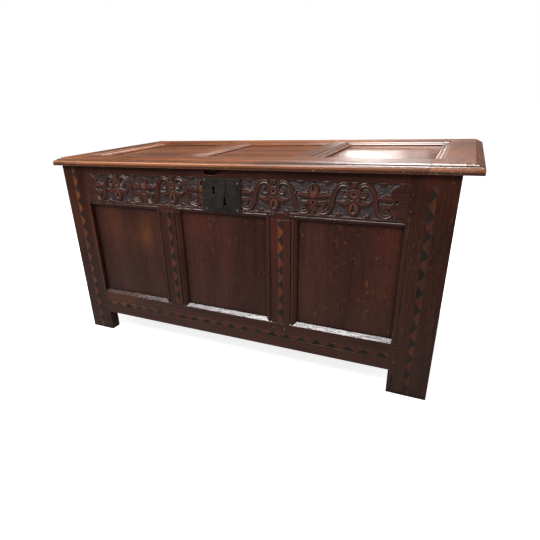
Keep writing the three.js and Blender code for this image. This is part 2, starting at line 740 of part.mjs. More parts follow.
const lidBottom = bodyHeight + lidGap;
const lidTop = lidBottom + lidThickness;
const lidX = [-lidLeftOverhang, bodyWidth + lidRightOverhang];
const lidY = [-lidFrontOverhang, bodyDepth - lidBackInset];
const lidInnerX = [lidX[0] + lidEndWidth, lidX[1] - lidEndWidth];
const lidInnerY = [lidY[0] + lidFrontWidth, lidY[1] - lidBackWidth];
const lidMuntinX = lidMuntinCentreShares.map((share) => {
  const centre = lidInnerX[0] + share * (lidInnerX[1] - lidInnerX[0]);
  return [centre - lidMuntinWidth / 2, centre + lidMuntinWidth / 2];
});
const lidPanelX = [
  [lidInnerX[0], lidMuntinX[0][0]],
  [lidMuntinX[0][1], lidMuntinX[1][0]],
  [lidMuntinX[1][1], lidInnerX[1]],
];

// The moulded edge in section: up the plain face, round the thumb, and from the quirk up the hollow
// to the top. The shares are of the moulding's width and height.
const thumbShares = [0.49, 0.5];
const hollowShares = [[0.49, 0.67], [0.6, 0.7], [0.76, 0.77], [0.93, 0.89], [1, 1]];

function lidEdge() {
  const edgeHeight = lidThickness - lidEdgeFace;
  const [thumbWidth, thumbRise] = [thumbShares[0] * lidEdgeWidth, thumbShares[1] * edgeHeight];
  const points = [[0, 0]];
  for (let step = 0; step <= curveSteps; step += 1) {
    const angle = (step / curveSteps) * (Math.PI / 2);
    points.push([thumbWidth * (1 - Math.cos(angle)), lidEdgeFace + thumbRise * Math.sin(angle)]);
  }
  hollowShares.forEach(([inwards, up]) => {
    points.push([inwards * lidEdgeWidth, lidEdgeFace + up * edgeHeight]);
  });
  return points;
}

const lidBlank = (() => {
  const edge = lidEdge();
  const atLeft = edge.map(([inwards, up]) => [lidX[0] + inwards, lidBottom + up]);
  const atRight = edge.map(([inwards, up]) => [lidX[1] - inwards, lidBottom + up]);
  const atFront = edge.map(([inwards, up]) => [lidY[0] + inwards, lidBottom + up]);
  const lengthwise = [...atLeft, ...atRight.reverse()];
  const depthwise = [...atFront, [lidY[1], lidTop], [lidY[1], lidBottom]];
  const acrossEnds = drawnOut(lengthwise, "y", [lidY[0] - overrun, lidY[1]]);
  return acrossEnds.intersect(drawnOut(depthwise, "x", [lidX[0] - overrun, lidX[1] + overrun]));
})();

const lidWellProfile = profile(lidWellShares, lidWellWidth, lidWellDepth);
const lidWells = lidPanelX.map((x) => {
  const toTop = ([place, depth]) => [place, lidTop - depth];
  const roomX = [x[0] - lidWellWidth - overrun, x[1] + lidWellWidth + overrun];
  const roomY = [lidInnerY[0] - lidWellWidth - overrun, lidInnerY[1] + lidWellWidth + overrun];
  const acrossWell = wellOutline(x, lidWellProfile, lidWellProfile).map(toTop);
  const alongWell = wellOutline(lidInnerY, lidWellProfile, lidWellProfile).map(toTop);
  return drawnOut(acrossWell, "y", roomY).intersect(drawnOut(alongWell, "x", roomX));
});
const lidPanelTop = lidTop - lidPanelSunk;
const intoLidGroove = ([low, high]) => [low - lidGrooveDepth, high + lidGrooveDepth];
const lidPanelSpaces = lidPanelX.map((x) => block({
  x: intoLidGroove(x),
  y: intoLidGroove(lidInnerY),
  z: grooveAt([lidPanelTop - lidPanelTongue, lidPanelTop]),
}));
const lidTenonZ = [lidBottom + lidTenonRise, lidBottom + lidTenonRise + lidTenonThickness];

function lidRailTenons([low, high]) {
  const y = [low + lidTenonInset, high - lidTenonInset];
  return [
    { x: [lidInnerX[0] - lidRailTenonLength, lidInnerX[0] + overrun], y, z: lidTenonZ },
    { x: [lidInnerX[1] - overrun, lidInnerX[1] + lidRailTenonLength], y, z: lidTenonZ },
  ];
}

const lidFrontY = [lidY[0], lidInnerY[0]];
const lidBackY = [lidInnerY[1], lidY[1]];
const lidFrontTenons = lidRailTenons([lidFrontY[0] + lidEdgeWidth, lidFrontY[1]]);
const lidBackTenons = lidRailTenons(lidBackY);
const lidMuntinTenons = lidMuntinX.map(([low, high]) => {
  const x = [low + lidTenonInset, high - lidTenonInset];
  return [
    { x, y: [lidInnerY[0] - lidMuntinTenonLength, lidInnerY[0] + overrun], z: lidTenonZ },
    { x, y: [lidInnerY[1] - overrun, lidInnerY[1] + lidMuntinTenonLength], z: lidTenonZ },
  ];
});

// Hinges

const hingeX = [hingeInset, bodyWidth - hingeInset];
const hingeY = bodyDepth + jointGap + hingeKnuckleRadius;
const hingeZ = lidBottom + hingeThickness - hingeKnuckleRadius;
const hingeBoreRadius = hingePinRadius + jointGap;
const leafY = [bodyDepth + jointGap, bodyDepth + jointGap + hingeThickness];
const strapZ = [lidBottom, lidBottom + hingeThickness];
const strapFrontY = bodyDepth - hingeStrapLength;

// The outline of a hinge arm from its knuckle to a round tip, as a shape [across, along].
function armShape(middle, root, length, direction) {
  const half = hingeWidth / 2;
  const tip = hingeTipWidth / 2;
  const end = root + direction * length;
  const roundFrom = end - direction * tip;
  const shape = new THREE.Shape();
  shape.moveTo(middle - half, root);
  shape.lineTo(middle + half, root);
  shape.lineTo(middle + tip, roundFrom);
  shape.absarc(middle, roundFrom, tip, 0, direction * Math.PI, direction < 0);
  shape.closePath();
  return shape;
}

const knuckleX = (middle) => {
  const half = hingeKnuckleWidth / 2;
  return {
    leaf: [middle - half, middle + half],
    strap: [
      [middle - hingeWidth / 2, middle - half - jointGap],
      [middle + half + jointGap, middle + hingeWidth / 2],
    ],
  };
};

// Room round one arm's knuckles, taken out of the other arm.
function knuckleRoom([low, high]) {
  const reach = hingeKnuckleRadius + jointGap;
  return block({
    x: [low - jointGap, high + jointGap],
    y: [hingeY - reach, hingeY + reach],
    z: [hingeZ - reach, hingeZ + reach],
  });
}

function hingeLeaf(middle) {
  const { leaf, strap } = knuckleX(middle);
  const plate = drawnOut(armShape(middle, hingeZ, hingeLeafLength, -1), "y", leafY);
  const trimmed = cutBy(plate, strap.map(knuckleRoom));
  const knuckle = bar("x", [hingeY, hingeZ], hingeKnuckleRadius, leaf);
  const bore = bar("x", [hingeY, hingeZ], hingeBoreRadius, [leaf[0] - overrun, leaf[1] + overrun]);
  return joined([trimmed, knuckle]).subtract(bore);
}

function hingeStrap(middle) {
  const { leaf, strap } = knuckleX(middle);
  const plate = drawnOut(armShape(middle, hingeY, hingeStrapLength + hingeY - bodyDepth, -1), "z", strapZ);
  const trimmed = plate.subtract(knuckleRoom(leaf));
  const knuckles = strap.map((x) => bar("x", [hingeY, hingeZ], hingeKnuckleRadius, x));
  const ends = [middle - hingeWidth / 2 - overrun, middle + hingeWidth / 2 + overrun];
  const bore = bar("x", [hingeY, hingeZ], hingeBoreRadius, ends);
  return joined([trimmed, ...knuckles]).subtract(bore);
}

// A turned pin with a low domed head beaten over at each end.
function hingePin(middle) {
  const reach = hingeWidth / 2 + jointGap;
  const outline = [[0, -reach - hingePinHeadHeight]];
  const [crownRadius, crownRise] = headCrownShares;
  outline.push([hingePinHeadRadius * crownRadius, -reach - hingePinHeadHeight * crownRise]);
  outline.push([hingePinHeadRadius, -reach]);
  outline.push([hingePinRadius, -reach]);
  const mirrored = outline.map(([radius, along]) => [radius, -along]).reverse();
  const points = [...outline, ...mirrored].map(([radius, along]) => new THREE.Vector2(radius, along));
  const geometry = new THREE.LatheGeometry(points, boreSteps);
  geometry.rotateZ(Math.PI / 2);
  geometry.translate(middle, hingeY, hingeZ);
  return solidOf(geometry);
}

// The bed let into the underside of the lid's back rail for a strap.
function strapBed(middle) {
  return block({
    x: [middle - hingeWidth / 2 - jointGap, middle + hingeWidth / 2 + jointGap],
    y: [strapFrontY - jointGap, lidY[1] + overrun],
    z: [lidBottom - overrun, strapZ[1] + jointGap],
  });
}

// Lock

const lockX = bodyWidth / 2;
const plateTop = bodyHeight - lockPlateDrop;
const plateY = [-jointGap - lockPlateThickness, -jointGap];
const keyholes = [
  { x: lockX + firstKeyholeOffset, top: plateTop - firstKeyholeDrop },
  { x: lockX + secondKeyholeOffset, top: plateTop - secondKeyholeDrop },
];
const coverX = lockX + coverOffset;
const coverZ = plateTop - coverDrop;
const coverY = [plateY[0] - jointGap - coverThickness, plateY[0] - jointGap];
const rivetBore = rivetRadius + jointGap;

// A keyhole, round at both ends and narrow in the middle.
function keyhole({ x, top }, y) {
  const half = keyholeWidth / 2;
  const waist = keyholeWaist / 2;
  const middle = top - keyholeHeight / 2;
  const foot = top - keyholeHeight;
  const shape = new THREE.Shape();
  shape.moveTo(x + half, top - half);
  shape.absarc(x, top - half, half, 0, Math.PI);
  shape.lineTo(x - waist, middle);
  shape.lineTo(x - half, foot + waist);
  shape.lineTo(x - waist, foot);
  shape.lineTo(x + waist, foot);
  shape.lineTo(x + half, foot + waist);
  shape.lineTo(x + waist, middle);
  shape.closePath();
  return drawnOut(shape, "y", y);
}

const caseX = [lockX + caseOffset - caseWidth / 2, lockX + caseOffset + caseWidth / 2];
const caseY = [frontRailThickness - jointGap - caseDepth, frontRailThickness - jointGap];
const caseZ = [topRailZ[0] + caseRise, bodyHeight - caseDrop];
const caseInside = {
  x: [caseX[0] + caseWall, caseX[1] - caseWall],
  y: [caseY[0] - overrun, caseY[1] - caseWall],
  z: [caseZ[0] + caseWall, caseZ[1] - caseWall],
};
const caseRecess = {
  x: [caseX[0] - jointGap, caseX[1] + jointGap],
  y: [caseY[0] - jointGap, frontRailThickness + overrun],
  z: [caseZ[0] - jointGap, caseZ[1] + jointGap],
};

// The staple hangs from a let-in plate under the lid and drops through the top of the rail.
const stapleX = [lockX + stapleOffset - stapleThickness / 2, lockX + stapleOffset + stapleThickness / 2];
const stapleY = [caseInside.y[1] - stapleSwing - stapleWidth + stapleWall / 2, caseInside.y[1] - stapleSwing];
const boltZ = [caseInside.z[1] - guideWall - jointGap - boltHeight, caseInside.z[1] - guideWall - jointGap];
const boltY = [
  (stapleY[0] + stapleY[1] - boltThickness) / 2,
  (stapleY[0] + stapleY[1] + boltThickness) / 2,
];
const boltX = [stapleX[1] + boltClearance, stapleX[1] + boltClearance + boltLength];
const stapleEyeZ = [boltZ[0] - 2 * jointGap, boltZ[1] + 2 * jointGap];
const stapleZ = [stapleEyeZ[0] - stapleWall, lidBottom];
const stapleSlot = {
  x: [stapleX[0] - stapleSwing, stapleX[1] + stapleSwing],
  y: [stapleY[0] - stapleSwing, stapleY[1] + stapleSwing / 2],
  z: [caseInside.z[1] - overrun, bodyHeight + overrun],
};
const staplePlateBox = {
  x: [lockX + stapleOffset - staplePlateLength / 2, lockX + stapleOffset + staplePlateLength / 2],
  y: stapleY,
  z: [lidBottom, lidBottom + staplePlateThickness],
};

// Two small bridges on the back of the case keep the bolt level.
const guideX = [boltX[0] + guideWidth, boltX[1] - boltThrow - 2 * guideWidth].map((x) => [x, x + guideWidth]);
function boltGuide(x) {
  const room = boltThickness / 2 + jointGap;
  const middle = (boltY[0] + boltY[1]) / 2;
  const outside = {
    x,
    y: [middle - room - guideWall, caseY[1]],
    z: [boltZ[0] - jointGap - guideWall, caseZ[1]],
  };
  const inside = {
    x: [x[0] - overrun, x[1] + overrun],
    y: [middle - room, middle + room],
    z: [boltZ[0] - jointGap, boltZ[1] + jointGap],
  };
  return { outside, inside };
}

// The worn notch where the staple has chipped the front edge of the rail.
function wornNotch() {
  const left = lockX + stapleOffset - chipLeftShare * chipWidth;
  const right = left + chipWidth;
  const outline = [
    [left, bodyHeight + overrun],
    [left, bodyHeight - chipHeight + chipSlope / 2],
    [left + chipSlope, bodyHeight - chipHeight],
    [right - chipRunOut, bodyHeight - chipHeight],
    [right, bodyHeight - chipSlope / 2],
    [right, bodyHeight + overrun],
  ];
  return drawnOut(outline, "y", [-overrun, chipDepth]);
}

// Pieces of the carcass

// A quirk in the front face along the inner edge of a stile, as a groove of three sides.
function quirk(middle, [low, high]) {
  const half = quirkWidth / 2;
  const outline = [
    [middle - half, -overrun], [middle - half, 0], [middle, quirkDepth],
    [middle + half, 0], [middle + half, -overrun],
  ];
  return drawnOut(outline, "z", [low, high]);
}

function makeStile(name, x, y, cutters, material) {
  const blank = block({ x, y, z: [0, bodyHeight] });
  place(name, cutBy(blank, cutters), material);
}

function makeStiles() {
  const leftX = [0, leftStileWidth];
  const rightX = [bodyWidth - rightStileWidth, bodyWidth];
  const frontY = [0, stileDepth];
  const rearY = [bodyDepth - stileDepth, bodyDepth];
  const [leftEnd, rightEnd] = endSides.map((side) => [
    ...endTenons(side, topTenonZ(endTopRailZ)),
    ...endTenons(side, bottomTenonZ(bottomRailZ)),
  ]);
  const mortises = (boxes) => boxes.map((box) => block(grow(box, jointGap)));
  const spaces = (boxes) => boxes.map(block);
  const quirks = (middle) => [quirk(middle, [quirkFoot, panelZ[1]]), quirk(middle, [-overrun, legQuirkTop])];
  makeStile("front_left_stile", leftX, frontY, [
    ...mortises([...frontTopTenons, ...frontBottomTenons, ...leftEnd]),
    ...spaces([frontPanelSpaces[0], endPanelSpaces("left")[0]]),
    ...quirks(leftX[1] - beadWidth),
    frontBands.left_stile_inlay.channel,
  ], stileOak);
  makeStile("front_right_stile", rightX, frontY, [
    ...mortises([...frontTopTenons, ...frontBottomTenons, ...rightEnd]),
    ...spaces([frontPanelSpaces[2], endPanelSpaces("right")[0]]),
    ...quirks(rightX[0] + beadWidth),
    frontBands.right_stile_inlay.channel,
  ], stileOak);
  makeStile("back_left_stile", leftX, rearY, [
    ...mortises([...backTopTenons, ...backBottomTenons, ...leftEnd]),
    ...spaces([backPanelSpaces[0], endPanelSpaces("left")[1]]),
  ], hiddenOak);
  makeStile("back_right_stile", rightX, rearY, [
    ...mortises([...backTopTenons, ...backBottomTenons, ...rightEnd]),
    ...spaces([backPanelSpaces[2], endPanelSpaces("right")[1]]),
  ], hiddenOak);
}

const betweenStiles = [frontX[0] + jointGap, frontX[1] - jointGap];
const floorZ = [bottomRailZ[0] + floorRise, bottomRailZ[0] + floorRise + floorThickness];
const floorY = [frontRailThickness - floorInGroove, backY + floorInGroove];

// The groove along the inside of the front and back bottom rails for the ends of the boards.
function floorGroove() {
  return block({ x: [frontX[0] - overrun, frontX[1] + overrun], y: grooveAt(floorY), z: grooveAt(floorZ) });
}

function makeFrontRails() {
  const mortises = (number) => frontMuntinTenons.map((tenons) => block(grow(tenons[number], jointGap)));
  const panelRoom = frontPanelSpaces.map(block);
  const top = joined([block({ x: betweenStiles, y: frontRailY, z: topRailZ }), ...frontTopTenons.map(block)]);
  const keyBores = keyholes.map((hole) => keyhole(hole, [-overrun, caseY[0] + overrun]));
  place("front_top_rail", cutBy(top, [
    ...frontWells, ...panelRoom, ...mortises(0),
    block(caseRecess), block(stapleSlot), wornNotch(), ...keyBores, ...friezeCuts(),
  ]), railOak);
  const [sillFoot, sillTop] = [bottomRailZ[1] - sillHeight, bottomRailZ[1]];
  const sill = [[-overrun, sillFoot], [0, sillFoot], [sillDepth, sillTop]];
  sill.push([sillDepth, sillTop + overrun], [-overrun, sillTop + overrun]);
  const sillRoom = [frontX[0] - overrun, frontX[1] + overrun];
  const bottomBlank = block({ x: betweenStiles, y: frontRailY, z: bottomRailZ });
  const chamfered = bottomBlank.subtract(drawnOut(sill, "x", sillRoom));
  const bottom = joined([chamfered, ...frontBottomTenons.map(block)]);
  place("front_bottom_rail", cutBy(bottom, [
    ...panelRoom, ...mortises(1), floorGroove(), frontBands.bottom_rail_inlay.channel,
  ]), railOak);
}

// A muntin's foot is scribed over the chamfer of the rail below it.
function makeFrontMuntins() {
  const names = ["front_left_muntin", "front_right_muntin"];
  const bands = [frontBands.left_muntin_inlay, frontBands.right_muntin_inlay];
  names.forEach((name, number) => {
    const x = muntinX[number];
    const z = [panelZ[0] - sillHeight + jointGap, panelZ[1] - jointGap];
    const blank = block({ x, y: frontRailY, z });
    const steepness = sillHeight / sillDepth;
    const slopeGap = jointGap * Math.hypot(1, steepness);
    const below = z[0] - overrun * (1 + steepness);
    const under = [
      [-overrun, panelZ[0] - sillHeight + slopeGap - overrun * steepness],
      [sillDepth, panelZ[0] + slopeGap],
      [frontRailThickness + overrun, panelZ[0] + slopeGap],
      [frontRailThickness + overrun, below],
      [-overrun, below],
    ];
    const foot = drawnOut(under, "x", [x[0] - overrun, x[1] + overrun]);
    const shaped = joined([blank.subtract(foot), ...frontMuntinTenons[number].map(block)]);
    place(name, cutBy(shaped, [
      ...frontWells, ...frontPanelSpaces.map(block), bands[number].channel,
    ]), stileOak);
  });
}

function makeFrontPanels() {
  const names = ["front_left_panel", "front_middle_panel", "front_right_panel"];
  const toFront = (u, v, depth) => new THREE.Vector3(u, frontPanelSunk + depth, v);
  names.forEach((name, number) => {
    place(name, raisedPanel(toFront, frontPanelX[number], panelZ, bodyPanel), panelOak);
  });
}

function makeBack() {
  const mortises = (number) => backMuntinTenons.map((tenons) => block(grow(tenons[number], jointGap)));
  const panelRoom = backPanelSpaces.map(block);
  const topBlank = block({ x: betweenStiles, y: backRailY, z: backTopRailZ });
  const top = joined([topBlank, ...backTopTenons.map(block)]);
  place("back_top_rail", cutBy(top, [...panelRoom, ...mortises(0)]), hiddenOak);
  const bottomBlank = block({ x: betweenStiles, y: backRailY, z: bottomRailZ });
  const bottom = joined([bottomBlank, ...backBottomTenons.map(block)]);
  place("back_bottom_rail", cutBy(bottom, [...panelRoom, ...mortises(1), floorGroove()]), hiddenOak);
  ["back_left_muntin", "back_right_muntin"].forEach((name, number) => {
    const z = [backPanelZ[0] + jointGap, backPanelZ[1] - jointGap];
    const blank = block({ x: backMuntinX[number], y: backRailY, z });
    const shaped = joined([blank, ...backMuntinTenons[number].map(block)]);
    place(name, cutBy(shaped, panelRoom), hiddenOak);
  });
  const toBack = (u, v, depth) => new THREE.Vector3(u, bodyDepth - backPanelSunk - depth, v);
  ["back_left_panel", "back_middle_panel", "back_right_panel"].forEach((name, number) => {
    place(name, raisedPanel(toBack, backPanelX[number], backPanelZ, bodyPanel), hiddenOak);
  });
}

// The show side of each end frame has a small chamfer round its panels.
function makeEnd(side) {
  const x = acrossX(side, [0, endRailThickness]);
  const y = [endY[0] + jointGap, endY[1] - jointGap];
  const outwards = side === "left" ? 1 : -1;
  const face = side === "left" ? 0 : bodyWidth;
  const toEnd = (u, v, depth) => new THREE.Vector3(face + outwards * depth, u, v);
  const wells = endPanelY.map((edges) => {
    const bevel = slope(endChamfer, endChamfer);
    const none = plainEdge(endChamfer);
    const atFront = edges[0] === endY[0];
    const acrossWell = atFront ? wellOutline(edges, none, bevel) : wellOutline(edges, bevel, none);
    const upWell = wellOutline(endPanelZ, bevel, bevel);
    const toX = (depth) => face + outwards * depth;
    const turned = (outline) => outline.map(([along, depth]) => [toX(depth), along]);
    const across = drawnOut(turned(acrossWell), "z", inGroove(endPanelZ));
    const upwards = drawnOut(turned(upWell), "y", inGroove(edges));
    return across.intersect(upwards);
  });
  const panelRoom = endPanelSpaces(side).map(block);
  const topTenons = endTenons(side, topTenonZ(endTopRailZ));
  const bottomTenons = endTenons(side, bottomTenonZ(bottomRailZ));
  const uprightTenons = endMuntinTenons(side);
  const mortise = (number) => block(grow(uprightTenons[number], jointGap));
  const top = joined([block({ x, y, z: endTopRailZ }), ...topTenons.map(block)]);
  place(`${side}_end_top_rail`, cutBy(top, [...wells, ...panelRoom, mortise(0)]), railOak);
  const bottom = joined([block({ x, y, z: bottomRailZ }), ...bottomTenons.map(block)]);
  place(`${side}_end_bottom_rail`, cutBy(bottom, [...wells, ...panelRoom, mortise(1)]), railOak);
  const muntinZ = [endPanelZ[0] + jointGap, endPanelZ[1] - jointGap];
  const muntin = joined([block({ x, y: endMuntinY, z: muntinZ }), ...uprightTenons.map(block)]);
  place(`${side}_end_muntin`, cutBy(muntin, [...wells, ...panelRoom]), stileOak);
  ["front", "back"].forEach((end, number) => {
    const toPanel = (u, v, depth) => toEnd(u, v, endPanelSunk + depth);
    const panel = raisedPanel(toPanel, endPanelY[number], endPanelZ, bodyPanel);
    place(`${side}_end_${end}_panel`, panel, panelOak);
  });
}

// The boards run from front to back, and the outer two are cut round the stiles.
function makeFloor() {
  const room = [endRailThickness + floorGap, bodyWidth - endRailThickness - floorGap];
  const width = (room[1] - room[0] - (floorBoardCount - 1) * floorGap) / floorBoardCount;
  const cornersX = [
    [-overrun, leftStileWidth + floorGap],
    [bodyWidth - rightStileWidth - floorGap, bodyWidth + overrun],
  ];
  const cornersY = [
    [-overrun, stileDepth + floorGap],
    [bodyDepth - stileDepth - floorGap, bodyDepth + overrun],
  ];
  const cornerZ = [floorZ[0] - overrun, floorZ[1] + overrun];
  const corners = cornersX.flatMap((x) => cornersY.map((y) => block({ x, y, z: cornerZ })));
  for (let number = 0; number < floorBoardCount; number += 1) {
    const low = room[0] + number * (width + floorGap);
    const board = block({ x: [low, low + width], y: floorY, z: floorZ });
    place(`floor_board_${number + 1}`, cutBy(board, corners), hiddenOak);
  }
}

function makeInlays() {
  Object.entries(frontBands).forEach(([name, band]) => place(name, band.solid, bogOak));
}

function makeLid() {
  const section = (x, y) => lidBlank.intersect(block({ x, y, z: [lidBottom - overrun, lidTop + overrun] }));
  const mortises = (boxes) => boxes.map((box) => block(grow(box, jointGap)));
  const openings = [...lidWells, ...lidPanelSpaces];
  const wholeY = [lidY[0] - overrun, lidY[1] + overrun];
  const endMortises = mortises([...lidFrontTenons, ...lidBackTenons]);
  const leftEnd = section([lidX[0] - overrun, lidInnerX[0]], wholeY);
  place("lid_left_rail", cutBy(leftEnd, [...openings, ...endMortises]), lidOak);
  const rightEnd = section([lidInnerX[1], lidX[1] + overrun], wholeY);
  place("lid_right_rail", cutBy(rightEnd, [...openings, ...endMortises]), lidOak);
  const between = [lidInnerX[0] + jointGap, lidInnerX[1] - jointGap];
  const muntinMortises = (number) => mortises(lidMuntinTenons.map((tenons) => tenons[number]));
  const front = section(between, [lidY[0] - overrun, lidInnerY[0]]);
  const stapleBed = block(grow(staplePlateBox, jointGap));
  place("lid_front_rail", cutBy(joined([front, ...lidFrontTenons.map(block)]), [
    ...openings, ...muntinMortises(0), stapleBed,
  ]), lidOak);
  const back = section(between, [lidInnerY[1], lidY[1] + overrun]);
  place("lid_back_rail", cutBy(joined([back, ...lidBackTenons.map(block)]), [
    ...openings, ...muntinMortises(1), ...hingeX.map(strapBed),
  ]), lidOak);
  ["lid_left_muntin", "lid_right_muntin"].forEach((name, number) => {
    const upright = section(lidMuntinX[number], [lidInnerY[0] + jointGap, lidInnerY[1] - jointGap]);
    place(name, cutBy(joined([upright, ...lidMuntinTenons[number].map(block)]), openings), lidOak);
  });
  const toLid = (u, v, depth) => new THREE.Vector3(u, v, lidPanelTop - depth);
  const thickness = {
    tongue: lidPanelTongue,
    field: lidPanelField,
    bevelWidth: lidPanelBevelWidth,
    edge: lidPanelInGroove,
  };
  ["lid_left_panel", "lid_middle_panel", "lid_right_panel"].forEach((name, number) => {
    place(name, raisedPanel(toLid, lidPanelX[number], lidInnerY, thickness), lidPanelOak);
  });
}

function makeHinges() {
  ["left", "right"].forEach((side, number) => {
    place(`${side}_hinge_leaf`, hingeLeaf(hingeX[number]), iron);
    place(`${side}_hinge_strap`, hingeStrap(hingeX[number]), iron);
    place(`${side}_hinge_pin`, hingePin(hingeX[number]), wornIron);
  });
}

function makeLock() {
  const plate = block({
    x: [lockX - lockPlateWidth / 2, lockX + lockPlateWidth / 2],
    y: plateY,
    z: [plateTop - lockPlateHeight, plateTop],
  });
  const through = [plateY[0] - overrun, plateY[1] + overrun];
  const rivetHole = bar("y", [coverX, coverZ], rivetBore, through);
  place("lock_plate", cutBy(plate, [...keyholes.map((hole) => keyhole(hole, through)), rivetHole]), iron);
  makeCover();
  makeRivet();
  const guides = guideX.map(boltGuide);
  const shell = cutBy(block({ x: caseX, y: caseY, z: caseZ }), [block(caseInside)]);
  const lockCase = joined([shell, ...guides.map(({ outside }) => block(outside))]);
  const passages = [...guides.map(({ inside }) => inside), stapleSlot];
  place("lock_case", cutBy(lockCase, passages.map(block)), iron);
  const notch = block({
    x: [keyholes[0].x + boltClearance, keyholes[0].x + boltClearance + boltNotchWidth],
    y: [boltY[0] - overrun, boltY[1] + overrun],
    z: [boltZ[0] - overrun, boltZ[0] + boltNotchDepth],
  });
  place("lock_bolt", block({ x: boltX, y: boltY, z: boltZ }).subtract(notch), wornIron);
  const hanging = block({ x: stapleX, y: stapleY, z: stapleZ });
  const eye = block({
    x: [stapleX[0] - overrun, stapleX[1] + overrun],
    y: [stapleY[0] + stapleWall, stapleY[1] - stapleWall],
    z: stapleEyeZ,
  });
  place("lid_staple", joined([hanging.subtract(eye), block(staplePlateBox)]), iron);
}

// A flat tongue with rounded ends, hung on its rivet and leaning as it was left.
function makeCover() {
  const half = coverWidth / 2;
  const outline = new THREE.Shape();
  outline.moveTo(half, 0);
  outline.absellipse(0, 0, half, coverHead, 0, Math.PI);
  outline.lineTo(-half, -coverLength + half / 2);
  outline.absellipse(0, -coverLength + half / 2, half, half / 2, Math.PI, 2 * Math.PI);
  outline.closePath();
  const tongue = drawnOut(outline, "y", coverY);
  const hole = bar("y", [0, 0], rivetBore, [coverY[0] - overrun, coverY[1] + overrun]);
  const cover = place("keyhole_cover", tongue.subtract(hole), wornIron);
  cover.position.set(coverX, 0, coverZ);
  cover.rotation.y = THREE.MathUtils.degToRad(coverLean);
}

function makeRivet() {
  const headY = coverY[0] - jointGap;
  const shank = bar("y", [coverX, coverZ], rivetRadius, [headY - rivetHeadHeight / 2, plateY[1]]);
  const [crownRadius, crownRise] = headCrownShares;
  const points = [[0, 0], [rivetHeadRadius, 0]];
  points.push([rivetHeadRadius * crownRadius, rivetHeadHeight * crownRise], [0, rivetHeadHeight]);
  const section = points.map(([radius, up]) => new THREE.Vector2(radius, up));
  const head = new THREE.LatheGeometry(section, boreSteps);
  head.rotateX(Math.PI);
  head.translate(coverX, headY, coverZ);
  place("cover_rivet", joined([shank, solidOf(head)]), wornIron);
}

makeStiles();
makeFrontRails();
makeFrontMuntins();
makeFrontPanels();
makeBack();
endSides.forEach(makeEnd);
makeFloor();
makeInlays();
makeLid();
makeHinges();
makeLock();

// The chest stands on its legs with the middle of its overall plan at the origin.
chest.position.set(-(lidX[0] + lidX[1]) / 2, -(lidY[0] + hingeY + hingeKnuckleRadius) / 2, 0);

export default chest;
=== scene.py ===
import bpy, bmesh, math
import numpy as np
from mathutils import Matrix, Vector


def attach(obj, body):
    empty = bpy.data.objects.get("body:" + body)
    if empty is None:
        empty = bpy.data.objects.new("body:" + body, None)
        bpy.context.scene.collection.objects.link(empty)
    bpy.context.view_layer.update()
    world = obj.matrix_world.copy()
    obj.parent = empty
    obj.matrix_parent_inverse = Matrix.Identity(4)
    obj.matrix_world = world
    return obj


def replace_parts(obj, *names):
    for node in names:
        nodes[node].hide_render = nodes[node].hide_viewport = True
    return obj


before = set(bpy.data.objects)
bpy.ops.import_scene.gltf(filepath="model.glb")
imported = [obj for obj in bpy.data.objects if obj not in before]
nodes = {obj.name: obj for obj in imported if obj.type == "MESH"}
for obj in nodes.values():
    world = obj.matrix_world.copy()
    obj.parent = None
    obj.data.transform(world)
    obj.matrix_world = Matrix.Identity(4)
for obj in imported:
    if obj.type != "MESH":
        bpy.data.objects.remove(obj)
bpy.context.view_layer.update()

# Frame of the front and the ends: stiles that run down as legs, rails and muntins, joined with pegged
# tenons. They are quartered and plain-sawn oak, waxed for three hundred years. Their hollows are
# darkened, partly by wax and dirt and partly as painted shade, and hands and cloths have rubbed the edges.
MIDDLE_X, MIDDLE_Y = 627.5, 297.15  # the chest's middle, from the left stile's edge and the front face


def at(x, y, z):
    return Vector(((x - MIDDLE_X) / 1000, (y - MIDDLE_Y) / 1000, z / 1000))


def link(tree, value, socket):
    if isinstance(value, bpy.types.NodeSocket):
        tree.links.new(value, socket)
    elif value is not None:
        socket.default_value = value


def node(tree, kind, inputs=(), **settings):
    made = tree.nodes.new("ShaderNode" + kind)
    for name, value in settings.items():
        setattr(made, name, value)
    for key, value in dict(inputs).items():
        link(tree, value, made.inputs[key])
    return made


def spread(tree, value, low, high, out_low=0.0, out_high=1.0):
    ends = {"From Min": low, "From Max": high, "To Min": out_low, "To Max": out_high}
    return node(tree, "MapRange", {"Value": value, **ends}).outputs["Result"]


def sums(tree, kind, a, b=None):
    return node(tree, "Math", {0: a, 1: b}, operation=kind).outputs[0]


def times(tree, product, *others):
    for other in others:
        product = sums(tree, "MULTIPLY", product, other)
    return product


def plus(tree, total, *others):
    for other in others:
        total = sums(tree, "ADD", total, other)
    return total


def band(tree, value, rise, fall):
    return times(tree, spread(tree, value, *rise), spread(tree, value, *fall))


def blended(tree, share, a, b, kind="MIX"):
    return node(tree, "Mix", {0: share, 6: a, 7: b}, data_type="RGBA", blend_type=kind).outputs[2]


def grey(tree, level):
    return node(tree, "CombineColor", {0: level, 1: level, 2: level}).outputs[0]


def shaded(tree, colour, level):
    return blended(tree, 1.0, colour, grey(tree, level), "MULTIPLY")


def tinted(colour, red, green, blue):
    return (colour[0] * red, colour[1] * green, colour[2] * blue, 1)


def place(tree):
    return node(tree, "TexCoord").outputs["Object"]


def noise(tree, where, scale, detail, **more):
    return node(tree, "TexNoise", {"Vector": where, "Scale": scale, "Detail": detail, **more}).outputs["Fac"]


def stretched(tree, grain, along, across, shift):
    scale = [across, across, across]
    scale["XYZ".index(grain)] = along
    turned = (0.5, 0.7, 0.4)  # keeps the noise's own grid off the grain
    where = {"Vector": place(tree), "Scale": scale, "Rotation": turned, "Location": shift}
    return node(tree, "Mapping", where).outputs["Vector"]


def openness(tree, distance):
    return node(tree, "AmbientOcclusion", {"Distance": distance}, samples=6, only_local=False).outputs["AO"]


